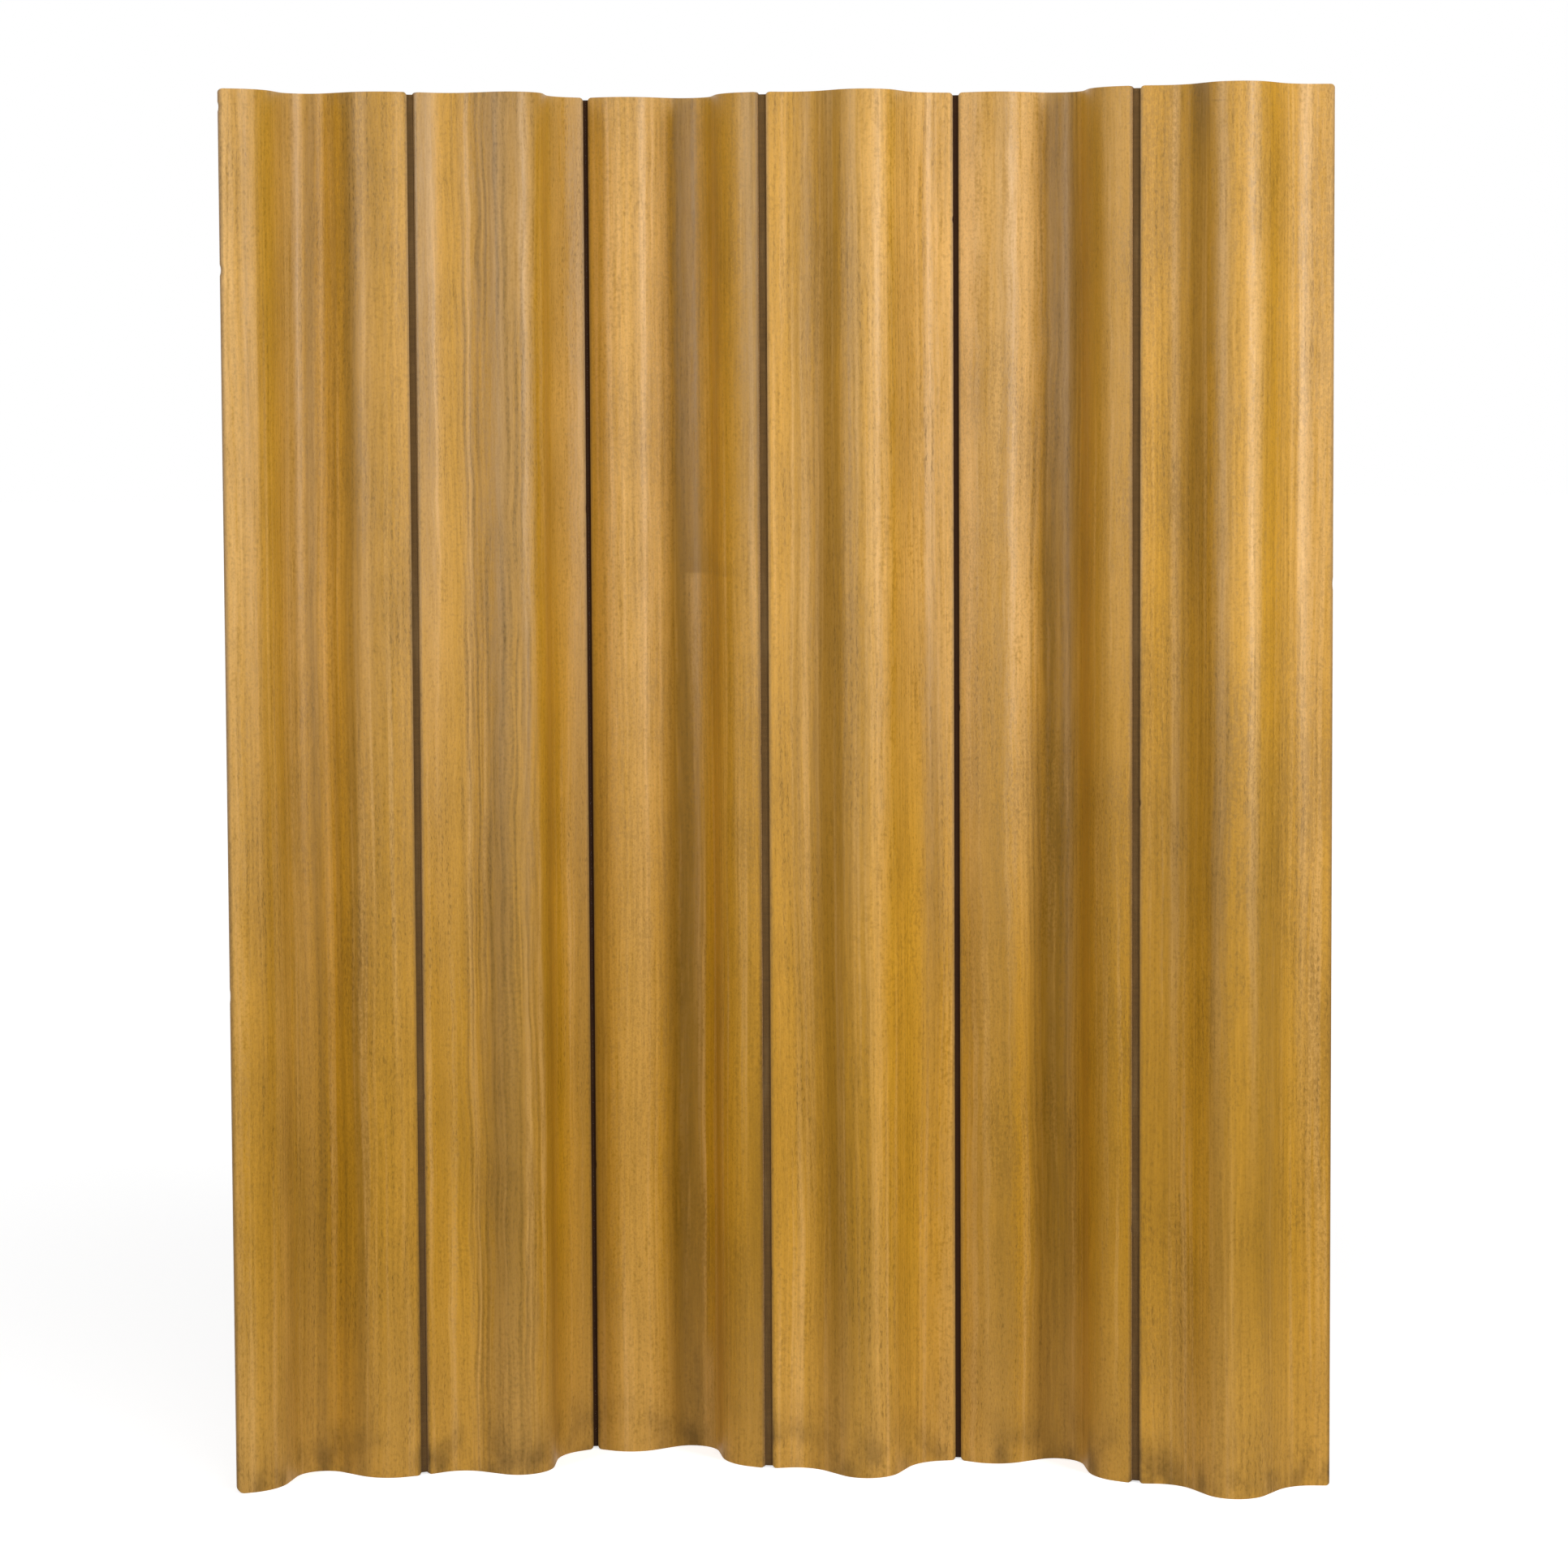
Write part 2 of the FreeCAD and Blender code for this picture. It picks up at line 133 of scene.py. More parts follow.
class ShaderTree:
    """The node tree of one material or of the world, with a method for each way of adding to it."""

    def __init__(self, tree: bpy.types.NodeTree, output: str) -> None:
        """Empty the tree and give it its output node.

        Args:
            tree: Blender's own node tree.
            output: Blender's type of the output node.
        """
        self.tree = tree
        self.tree.nodes.clear()
        self.output = self.tree.nodes.new(output)

    @classmethod
    def of_material(cls, name: str) -> tuple["ShaderTree", bpy.types.Material]:
        """Make a material with an empty tree.

        Args:
            name: the material's name.

        Returns:
            The tree and the material.
        """
        material = bpy.data.materials.new(name)
        material.use_nodes = True
        return cls(material.node_tree, "ShaderNodeOutputMaterial"), material

    def node(
        self,
        kind: str,
        settings: Optional[dict[str, Any]] = None,
        inputs: Optional[dict[Union[str, int], Link]] = None,
        output: Union[str, int] = 0,
    ) -> Signal:
        """Add a node.

        Args:
            kind: Blender's type of the node.
            settings: the node's own properties, set first.
            inputs: a number, a tuple or a signal for each socket that isn't left alone.
            output: the socket to hand back.

        Returns:
            That output.
        """
        made = self.tree.nodes.new(kind)
        for name, value in (settings or {}).items():
            setattr(made, name, value)
        for key, value in (inputs or {}).items():
            if isinstance(value, Signal):
                self.tree.links.new(value.socket, made.inputs[key])
            else:
                made.inputs[key].default_value = value
        return Signal(self, made.outputs[output])

    def plane(self) -> tuple[Signal, Signal]:
        """Read the place on the sheet from the grain map.

        Returns:
            Metres across the sheet and metres up it.
        """
        spot = self.node("ShaderNodeUVMap", {"uv_map": GRAIN_MAP})
        across = self.node("ShaderNodeSeparateXYZ", None, {0: spot}, "X")
        return across, Signal(self, across.socket.node.outputs["Y"])

    def noise(self, across: Link, up: Link, seed: float, detail: float = 2.0) -> Signal:
        """Soft noise from 0 to 1 at a scaled place. The seed picks its slice, and detail its finer layers."""
        spot = self.node("ShaderNodeCombineXYZ", None, {"X": across, "Y": up, "Z": seed})
        return self.node("ShaderNodeTexNoise", None, {"Vector": spot, "Scale": 1.0, "Detail": detail})

    def mix(self, share: Link, first: Link, second: Link) -> Signal:
        """Mix two colours: the first where the share is 0, the second where it is 1."""
        inputs = {MIX_SHARE: share, MIX_FIRST: first, MIX_SECOND: second}
        return self.node("ShaderNodeMix", {"data_type": "RGBA", "clamp_factor": True}, inputs, MIX_RESULT)

    def scale(self, colour: Link, factor: Link) -> Signal:
        """Make a colour lighter or darker by a factor."""
        return self.node("ShaderNodeVectorMath", {"operation": "SCALE"}, {0: colour, "Scale": factor})

    def bump(self, height: Signal, depth: float, strength: float) -> Signal:
        """Bend the normal by a height that is depth metres at 1."""
        return self.node("ShaderNodeBump", None, {"Height": height, "Distance": depth, "Strength": strength})

    def finish(self, shader: Signal) -> None:
        """Link the last shader to the output."""
        self.tree.links.new(shader.socket, self.output.inputs["Surface"])

    def surface(self, inputs: dict[Union[str, int], Link]) -> None:
        """Close the tree with a Principled shader that has these inputs."""
        self.finish(self.node("ShaderNodeBsdfPrincipled", None, inputs))


@dataclass(frozen=True)
class Grain:
    """A layer of noise on a sheet: its changes to the metre across and up, its seed and its finer layers."""

    across: float
    up: float
    seed: float = 0.0
    detail: float = 2.0

    def on(self, tree: ShaderTree, across: Signal, up: Signal, seed: float = 0.0) -> Signal:
        """The layer at a place, from -0.5 to 0.5, on the sheet with this seed."""
        return tree.noise(across * self.across, up * self.up, seed + self.seed, self.detail) - NOISE_MEAN


class Finish:
    """A look that a piece can have."""

    def dress(self, tree: ShaderTree) -> None:
        """Add the nodes of the look to an empty tree."""
        raise NotImplementedError

    def material(self, name: str) -> bpy.types.Material:
        """Make the material.

        Args:
            name: its name.

        Returns:
            The material.
        """
        tree, material = ShaderTree.of_material(name)
        self.dress(tree)
        return material


def weighted(parts: dict[str, Signal], weights: dict[str, float], start: float = 0.0) -> Signal:
    """Add up signals, each with its weight.

    Args:
        parts: signals by name.
        weights: the weight of each one that counts.
        start: the sum where all of them are 0.

    Returns:
        The sum.
    """
    total: Link = start
    for name, weight in weights.items():
        total = parts[name] * weight + total
    return total


class Patch(Enum):
    """The six sides of a thin shell."""

    FRONT = "front"
    BACK = "back"
    FOOT = "foot"
    TOP = "top"
    LEFT = "left"
    RIGHT = "right"


Layout = dict[Patch, Span]


def strips(*spans: Span) -> Layout:
    """Give each side of a shell its upright strip of the bake map, in the order of the sides."""
    return dict(zip(Patch, spans))


SEEN_FACE: Span = (0.0, 0.88)
GLUED_FACE: Span = (0.90, 0.93)
THIN_SIDES: tuple[Span, ...] = ((0.940, 0.955), (0.960, 0.975), (0.980, 0.988), (0.992, 1.0))
FRONT_FACE_LAYOUT = strips(SEEN_FACE, GLUED_FACE, *THIN_SIDES)
BACK_FACE_LAYOUT = strips(GLUED_FACE, SEEN_FACE, *THIN_SIDES)
INNER_PLY_LAYOUT = strips((0.0, 0.08), (0.10, 0.18), (0.20, 0.42), (0.46, 0.68), (0.72, 0.84), (0.88, 1.0))
CLOTH_LAYOUT = strips((0.0, 0.45), (0.47, 0.92), *THIN_SIDES)


@dataclass
class Shell:
    """A thin closed sheet between a front grid and a back grid of points, rows from the foot up.

    Both grids have the shape rows, columns, 3. The grain grid has metres across and metres up.
    """

    front: np.ndarray
    back: np.ndarray
    grain: np.ndarray

    def patches(self) -> dict[Patch, np.ndarray]:
        """Work out the faces of each side.

        Returns:
            Corner numbers, four to a face, wound to face outwards.
        """
        rows, columns = self.front.shape[:2]
        front = np.arange(rows * columns).reshape(rows, columns)
        back = front + rows * columns

        def quads(a: np.ndarray, b: np.ndarray, c: np.ndarray, d: np.ndarray) -> np.ndarray:
            """Stack four corner arrays into a list of faces."""
            return np.stack([a.ravel(), b.ravel(), c.ravel(), d.ravel()], axis=1)

        return {
            Patch.FRONT: quads(front[:-1, :-1], front[:-1, 1:], front[1:, 1:], front[1:, :-1]),
            Patch.BACK: quads(back[:-1, :-1], back[1:, :-1], back[1:, 1:], back[:-1, 1:]),
            Patch.FOOT: quads(front[0, :-1], back[0, :-1], back[0, 1:], front[0, 1:]),
            Patch.TOP: quads(front[-1, :-1], front[-1, 1:], back[-1, 1:], back[-1, :-1]),
            Patch.LEFT: quads(front[:-1, 0], front[1:, 0], back[1:, 0], back[:-1, 0]),
            Patch.RIGHT: quads(front[:-1, -1], back[:-1, -1], back[1:, -1], front[1:, -1]),
        }

    def bake_places(self, layout: Layout, patch: Patch, corners: np.ndarray) -> np.ndarray:
        """Places of a side's corners on the bake map.

        Args:
            layout: the strip that each side fills.
            patch: the side.
            corners: its corner numbers.

        Returns:
            One pair for each corner.
        """
        rows, columns = self.front.shape[:2]
        side, rest = np.divmod(corners.ravel(), rows * columns)
        flat = self.grain.reshape(-1, 2)
        across, up = ((flat[rest] - flat.min(axis=0)) / np.ptp(flat, axis=0)).T
        if patch in (Patch.FOOT, Patch.TOP):
            up = np.linspace(0.0, 1.0, columns)[rest % columns]
        if patch not in (Patch.FRONT, Patch.BACK):
            across = side
        low, high = layout[patch]
        return np.stack([low + across * (high - low), up], axis=1)

    def build(self, name: str, layout: Layout, material: bpy.types.Material) -> bpy.types.Object:
        """Make the mesh object, with its grain map and bake map.

        Args:
            name: the piece's name.
            layout: strips of the bake map.
            material: its finish.

        Returns:
            The object, linked to the scene.
        """
        patches = self.patches()
        faces = np.concatenate(list(patches.values()))
        points = np.concatenate([self.front.reshape(-1, 3), self.back.reshape(-1, 3)])
        mesh = bpy.data.meshes.new(name)
        mesh.from_pydata(points.tolist(), [], faces.tolist())
        grain = np.tile(self.grain.reshape(-1, 2), (2, 1))[faces.ravel()]
        bake = [self.bake_places(layout, patch, corners) for patch, corners in patches.items()]
        for map_name, places in ((GRAIN_MAP, grain), (BAKE_MAP, np.concatenate(bake))):
            layer = mesh.uv_layers.new(name=map_name)
            layer.data.foreach_set("uv", places.astype(np.float32).ravel())
        mesh.polygons.foreach_set("use_smooth", np.ones(len(faces), bool))
        mesh.set_sharp_from_angle(angle=SHARP_ANGLE)
        mesh.materials.append(material)
        mesh.update()
        made = bpy.data.objects.new(name, mesh)
        bpy.context.scene.collection.objects.link(made)
        return made


def rounding(distance: np.ndarray, radius: float) -> np.ndarray:
    """How far a rounded border falls back at a distance in from it, 0 beyond its radius."""
    inside = np.clip(radius - distance, 0.0, radius)
    return radius - np.sqrt(radius**2 - inside**2)


@dataclass(frozen=True)
class Section:
    """The pressed wave of a panel on its mid surface, from its left edge to its right edge."""

    margin: float = 20 * MM
    foot_radius: float = 58 * MM
    slope_length: float = 29 * MM
    slope_angle: float = math.radians(56)
    crown_radius: float = 40 * MM
    bend_points: int = 19
    slope_points: int = 5

    @property
    def foot_run(self) -> float:
        """Length of the bend from the margin into the slope."""
        return self.foot_radius * self.slope_angle

    @property
    def crown_run(self) -> float:
        """Length of the bend over the crown."""
        return 2 * self.crown_radius * self.slope_angle

    @property
    def girth(self) -> float:
        """Length of the whole section laid flat."""
        return 2 * (self.margin + self.foot_run + self.slope_length) + self.crown_run

    @property
    def half_width(self) -> float:
        """From the crown to the edge along the chord."""
        bends = (self.foot_radius + self.crown_radius) * math.sin(self.slope_angle)
        return self.margin + bends + self.slope_length * math.cos(self.slope_angle)

    def place(self, run: np.ndarray) -> tuple[np.ndarray, np.ndarray, np.ndarray]:
        """Where the mid surface lies at a length along it.

        Args:
            run: metres from the left edge, along the section.

        Returns:
            Metres along the chord from its middle, metres towards the crown, and the direction in radians.
        """
        near = np.minimum(run, self.girth - run)
        slope = self.slope_angle
        bend = np.clip((near - self.margin) / self.foot_radius, 0.0, slope)
        straight = np.clip(near - self.margin - self.foot_run, 0.0, self.slope_length)
        over = np.clip(near - self.margin - self.foot_run - self.slope_length, 0.0, None) / self.crown_radius
        across = np.minimum(near, self.margin) + self.foot_radius * np.sin(bend) + straight * math.cos(slope)
        across = across + self.crown_radius * (math.sin(slope) - np.sin(slope - over)) - self.half_width
        rise = self.foot_radius * (1 - np.cos(bend)) + straight * math.sin(slope)
        rise = rise + self.crown_radius * (np.cos(slope - over) - math.cos(slope))
        heading = bend - over
        far_half = run > self.girth / 2
        return np.where(far_half, -across, across), rise, np.where(far_half, -heading, heading)

    def columns(self, left_start: float, right_end: float, edge_steps: Sequence[float]) -> np.ndarray:
        """Lengths along the section at which a ply has points, close at its edges and even in the bends.

        Args:
            left_start: where the ply starts.
            right_end: where it ends.
            edge_steps: distances in from an edge with close points.

        Returns:
            The lengths, from left to right.
        """
        half = [self.margin]
        lengths = (self.foot_run, self.slope_length, self.crown_run / 2)
        for length, count in zip(lengths, (self.bend_points, self.slope_points, self.bend_points)):
            half += list(half[-1] + np.linspace(0, length, count)[1:])
        middle = half + [self.girth - run for run in reversed(half[:-1])]
        left = [left_start + step for step in edge_steps if left_start + step < self.margin - MM]
        right = [right_end - step for step in edge_steps if right_end - step > self.girth - self.margin + MM]
        return np.array(left + middle + right[::-1])


@dataclass(frozen=True)
class Chip:
    """A place where an upright edge is worn back."""

    on_left: bool
    height: float
    length: float
    depth: float


class Tint(Enum):
    """The tones that a streak can have: tones of the wood under the varnish, which some streaks also use for
    painted highlights, painted light and painted shade.
    """

    # Dark tone of the wood's figure and soot, also used as painted shade in the hollows
    SMOKE_AND_SHADE = "smoke_and_shade"
    TAUPE = "taupe"
    AMBER = "amber"
    PALE = "pale"
    # Bright gold tone, used partly as painted light: it brightens slopes that face left, in place of more
    # fill light
    GOLD = "gold"

    def at(self, *sizes: float, **ends: float) -> "Streak":
        """Make a streak of this tint."""
        return Streak(self, *sizes, **ends)


SMOKE_AND_SHADE, TAUPE, AMBER, PALE, GOLD = Tint


@dataclass(frozen=True)
class Streak:
    """A streak of another tone up a veneer, over its whole height or between two heights. Some streaks are
    the wood's own tone; others are painted highlights, painted light on slopes and painted shade in hollows.

    Its lengths are in millimetres and its strength is in percent. Dull is the gloss that the streak takes
    away, as a multiple of its strength. The upper end fades as far as the lower one where no fade of its own
    is given.
    """

    tint: Tint
    across: float
    width: float
    strength: float
    low: Optional[float] = None
    high: Optional[float] = None
    fade: float = 220.0
    dull: float = 0.0
    top_fade: Optional[float] = None


@dataclass(frozen=True)
class Leaf:
    """One sheet of face veneer: where the heart of its figure lies, and how it is coloured.

    A rise below 0 makes the points of the figure look down the sheet. The figure shows between two places
    across the sheet.
    """

    seed: float
    heart: float
    depth: float
    rise: float
    pitch: float = 7.0 * MM
    spread: float = 0.0
    figure: float = 0.18
    curl: float = 1.0 * MM
    curl_rate: float = 16.0
    tone: float = 1.0
    smokiness: float = 0.40
    porosity: float = 0.50
    figure_from: float = -1.0
    figure_to: float = 1.0
    streaks: tuple[Streak, ...] = ()


# Layers of noise that run along the grain, and layers that lie all over the sheet
ALONG_GRAIN: dict[str, Grain] = {
    "strands": Grain(230.0, 12.0, 31.0, 4.0),
    "bands": Grain(21.0, 0.55, 11.0),
    "stripes": Grain(95.0, 1.0, 13.0, 3.0),
    "clouds": Grain(24.0, 1.5, 17.0, 5.0),
    "fibre": Grain(470.0, 30.0, 19.0, 3.0),
    "pores": Grain(680.0, 150.0, 23.0, 1.0),
}
ALL_OVER: dict[str, Grain] = {
    "smudge": Grain(10.0, 4.2, 37.0, 6.0),
    "specks": Grain(270.0, 215.0, 21.0, 3.0),
    "dirt": Grain(28.0, 17.0, 29.0, 4.0),
}
# How far each layer breaks up streaks, gathers soot and grime, and moves tone, gloss, roughness and height
TOOTH_WEIGHTS = {"clouds": 1.1, "strands": 1.3, "specks": 0.9}
SOOT_WEIGHTS = {"smudge": 1.0, "strands": 0.70, "specks": 1.5}
GRIME_WEIGHTS = {"edge": 1.0, "scuff": 0.60}
TONE_WEIGHTS = {"fibre": 0.34, "strands": 0.50, "specks": 0.90, "stripes": 0.22}
SHEEN_WEIGHTS = {"strands": 0.9, "fibre": 0.7, "specks": 0.5, "pores": -0.6, "scuff": -0.5}
ROUGH_WEIGHTS = {"smudge": 0.20, "early": 0.05, "scuff": 0.2, "edge": 0.15}
HEIGHT_WEIGHTS = {"fibre": 0.6, "specks": 0.35, "pores": -0.8}


@dataclass(frozen=True)
class VeneerFinish(Finish):
    """One sheet of ash face veneer under an aged amber varnish, satin, with painted highlights, painted light
    and painted shade in some of its streaks and a painted floor bounce at its foot.

    The girth is the width of the sheet laid flat. Each span is where a layer starts and ends to show.
    """

    leaf: Leaf
    girth: float
    honey: Colour = (0.485, 0.250, 0.028, 1.0)
    amber: Colour = (0.470, 0.234, 0.010, 1.0)
    pale: Colour = (0.575, 0.330, 0.092, 1.0)
    gold: Colour = (0.590, 0.320, 0.026, 1.0)
    taupe: Colour = (0.320, 0.172, 0.034, 1.0)
    # dark figure tone, also used for painted shade in the hollows
    smoke_and_shade: Colour = (0.168, 0.084, 0.004, 1.0)
    pore: Colour = (0.085, 0.042, 0.005, 1.0)
    grime: Colour = (0.100, 0.056, 0.016, 1.0)
    roughness: float = 0.50
    specular: float = 0.12
    coat_low: float = 0.14
    coat_high: float = 0.80
    coat_roughness: float = 0.40
    coat_rise: Span = (0.36, 1.12)
    relief: float = 0.16 * MM
    relief_strength: float = 0.45
    drift: Grain = Grain(5.0, 1.1)
    drift_reach: float = 24 * MM
    waver: Grain = Grain(30.0, 4.0, 7.0, 3.0)
    waver_reach: float = 5.5 * MM
    ripple: Grain = Grain(36.0, 16.0, 9.0, 1.0)
    ring_wobble: Grain = Grain(0.30, 1.8, 3.0)
    wobble_reach: float = 1.8
    ring_fray: float = 0.75
    early_fall: Span = (0.08, 0.58)
    early_rise: Span = (0.62, 1.0)
    ring_break: Grain = Grain(0.8, 3.4, 5.0, 3.0)
    break_span: Span = (-0.16, 0.12)
    figure_fade: float = 25 * MM
    band_span: Span = (-0.20, 0.20)
    pale_stripe_span: Span = (0.0, 0.20)
    pale_stripes: float = 0.70
    amber_stripe_span: Span = (0.0, 0.22)
    amber_stripes: float = 0.55
    pore_span: Span = (-0.02, 0.18)
    late_pores: float = 0.35
    clean_pores: float = 0.20
    smudge_span: Span = (-0.16, 0.16)
    soot_span: Span = (-0.06, 0.28)
    edge_span: Span = (0.0, 5 * MM)
    edge_soil: float = 0.55
    scuff_span: Span = (0.0, 0.10)
    dirt_span: Span = (-0.10, 0.22)
    # Painted light: how high the paler wash at the foot reaches, and how strong it is, for the white floor's
    # bounce
    floor_bounce_span: Span = (0.0, 0.34)
    floor_bounce: float = 0.30
    streak_core: Span = (0.0, 0.95)
    streak_skirt: Span = (-0.45, 0.30)

    def tone_of(self, tint: Tint) -> Colour:
        """The colour of a tint, which has the tint's name."""
        return getattr(self, tint.value)

    def streak_share(self, streak: Streak, across: Signal, up: Signal, tooth: Signal) -> Signal:
        """How much of a streak shows at a place.

        Args:
            streak: the streak.
            across: place across the grain.
            up: height on the sheet.
            tooth: clouds and fibres that break it up, about 0.

        Returns:
            0 to the streak's strength.
        """
        near = 1 - abs(across - streak.across * MM) / (streak.width * MM)
        share = (near + tooth).smooth(*self.streak_core) * near.smooth(*self.streak_skirt)
        share = share * (streak.strength * PERCENT)
        if streak.low is not None:
            share = share * up.past(streak.low * MM, streak.fade * MM)
        if streak.high is not None:
            fade = streak.fade if streak.top_fade is None else streak.top_fade
            share = share * (1 - up.past(streak.high * MM, fade * MM))
        return share

    def figure(self, tree: ShaderTree, u: Signal, v: Signal) -> tuple[Signal, dict[str, Signal]]:
        """Lay the figure of the sheet.

        Args:
            tree: the material's tree.
            u: metres across the sheet.
            v: metres up it.

        Returns:
            The place across the grain, and the layers of the figure by name.
        """
        leaf, seed = self.leaf, self.leaf.seed
        # The grain drifts slowly up the sheet, wavers on the way, and ripples where the wood is curly
        across = u + self.drift.on(tree, u, v, seed) * self.drift_reach
        across = across + self.waver.on(tree, u, v, seed) * self.waver_reach
        across = across + replace(self.ripple, up=leaf.curl_rate).on(tree, u, v, seed) * leaf.curl
        # Growth rings: circles about the heart of the log, cut along by the knife
        aside = across - leaf.heart
        under = v * leaf.rise + leaf.depth
        ring = (aside * aside + under * under).root() / (leaf.pitch * (v * leaf.spread + 1))
        ring = ring + self.ring_wobble.on(tree, ring, v, seed) * self.wobble_reach
        parts = {name: grain.on(tree, across, v, seed) for name, grain in ALONG_GRAIN.items()}
        parts |= {name: grain.on(tree, u, v, seed) for name, grain in ALL_OVER.items()}
        phase = (ring + parts["strands"] * self.ring_fray).fraction()
        early = 1 - phase.smooth(*self.early_fall) * (1 - phase.smooth(*self.early_rise))
        parts["early"] = early * self.ring_break.on(tree, ring, v, seed).smooth(*self.break_span)
        return across, parts

    def wear(self, u: Signal, v: Signal, parts: dict[str, Signal]) -> None:
        """Add the short dark pores, the grime along the edges and the scuffs at the foot.

        Args:
            u: metres across the sheet.
            v: metres up it.
            parts: the layers of its figure, which gain these.
        """
        in_rings = self.late_pores + (1 - self.late_pores) * parts["early"]
        in_smudges = self.clean_pores + (1 - self.clean_pores) * parts["smudge"].smooth(*self.smudge_span)
        parts["pores"] = parts["pores"].smooth(*self.pore_span) * in_rings * in_smudges * self.leaf.porosity
        parts["edge"] = (1 - u.least(self.girth - u).smooth(*self.edge_span)) * self.edge_soil
        parts["scuff"] = (1 - v.smooth(*self.scuff_span)) * parts["dirt"].smooth(*self.dirt_span)

    def dress(self, tree: ShaderTree) -> None:
        """Add the nodes of the look: figure, streaks (some of them painted highlights, painted light and
        painted shade), soot, a painted floor bounce at the foot, pores and grime, and the varnish over all.

        Args:
            tree: the material's empty tree.
        """
        leaf = self.leaf
        u, v = tree.plane()
        across, parts = self.figure(tree, u, v)
        self.wear(u, v, parts)
        stripes = parts["stripes"]
        colour = tree.mix(parts["bands"].smooth(*self.band_span), self.amber, self.honey)
        colour = tree.mix(stripes.smooth(*self.pale_stripe_span) * self.pale_stripes, colour, self.pale)
        dark_stripes = (0 - stripes).smooth(*self.amber_stripe_span) * self.amber_stripes
        colour = tree.mix(dark_stripes, colour, self.amber)
        tooth = weighted(parts, TOOTH_WEIGHTS)
        sheen = weighted(parts, SHEEN_WEIGHTS, 1.0)
        # Streaks lay the wood's own tones, and some of them paint highlights, light and shade into the colour
        for streak in leaf.streaks:
            share = self.streak_share(streak, across, v, tooth)
            colour = tree.mix(share, colour, self.tone_of(streak.tint))
            if streak.dull:
                sheen = sheen * (1 - share * streak.dull)
        shown = across.past(leaf.figure_from, self.figure_fade)
        hidden = across.past(leaf.figure_to, self.figure_fade)
        washes = (
            (weighted(parts, SOOT_WEIGHTS).smooth(*self.soot_span) * leaf.smokiness, self.smoke_and_shade),
            (parts["early"] * (shown * (1 - hidden)) * leaf.figure, self.smoke_and_shade),
            # painted light: paler towards the foot, as the white floor's bounce would light it
            ((1 - v.smooth(*self.floor_bounce_span)) * self.floor_bounce, self.pale),
            (parts["pores"], self.pore),
            (weighted(parts, GRIME_WEIGHTS).least(1.0), self.grime),
        )
        for share, tone in washes:
            colour = tree.mix(share, colour, tone)
        # The varnish keeps its gloss up high and has worn thin lower down, and it sinks into the pores
        coat = v.smooth(*self.coat_rise) * (self.coat_high - self.coat_low) + self.coat_low
        tree.surface({
            "Base Color": tree.scale(colour, weighted(parts, TONE_WEIGHTS, 1.0) * leaf.tone),
            "Roughness": weighted(parts, ROUGH_WEIGHTS, self.roughness),
            "Specular IOR Level": self.specular,
            "Coat Weight": (coat * sheen.most(0.0)).least(1.0),
            "Coat Roughness": self.coat_roughness,
            "Normal": tree.bump(weighted(parts, HEIGHT_WEIGHTS), self.relief, self.relief_strength),
        })


@dataclass(frozen=True)
class PlyFinish(Finish):
    """Bare edge of an inner ply, with its fibres along or across the section."""

    light: Colour
    dark: Colour
    fibre: Grain
    fibre_span: Span = (-0.2, 0.2)
    stain: Grain = Grain(25.0, 9.0, 8.0, 3.0)
    stain_depth: float = 0.7
    tone: float = 0.97
    roughness: float = 0.76
    rough_depth: float = 0.2
    specular: float = 0.25
    relief: float = 0.2 * MM
    relief_strength: float = 0.5

    def dress(self, tree: ShaderTree) -> None:
        """Add the nodes of the look.

        Args:
            tree: the material's empty tree.
        """
        u, v = tree.plane()
        fibre = self.fibre.on(tree, u, v)
        colour = tree.mix(fibre.smooth(*self.fibre_span), self.dark, self.light)
        tree.surface({
            "Base Color": tree.scale(colour, self.stain.on(tree, u, v) * self.stain_depth + self.tone),
            "Roughness": fibre * self.rough_depth + self.roughness,
            "Specular IOR Level": self.specular,
            "Normal": tree.bump(fibre, self.relief, self.relief_strength),
        })


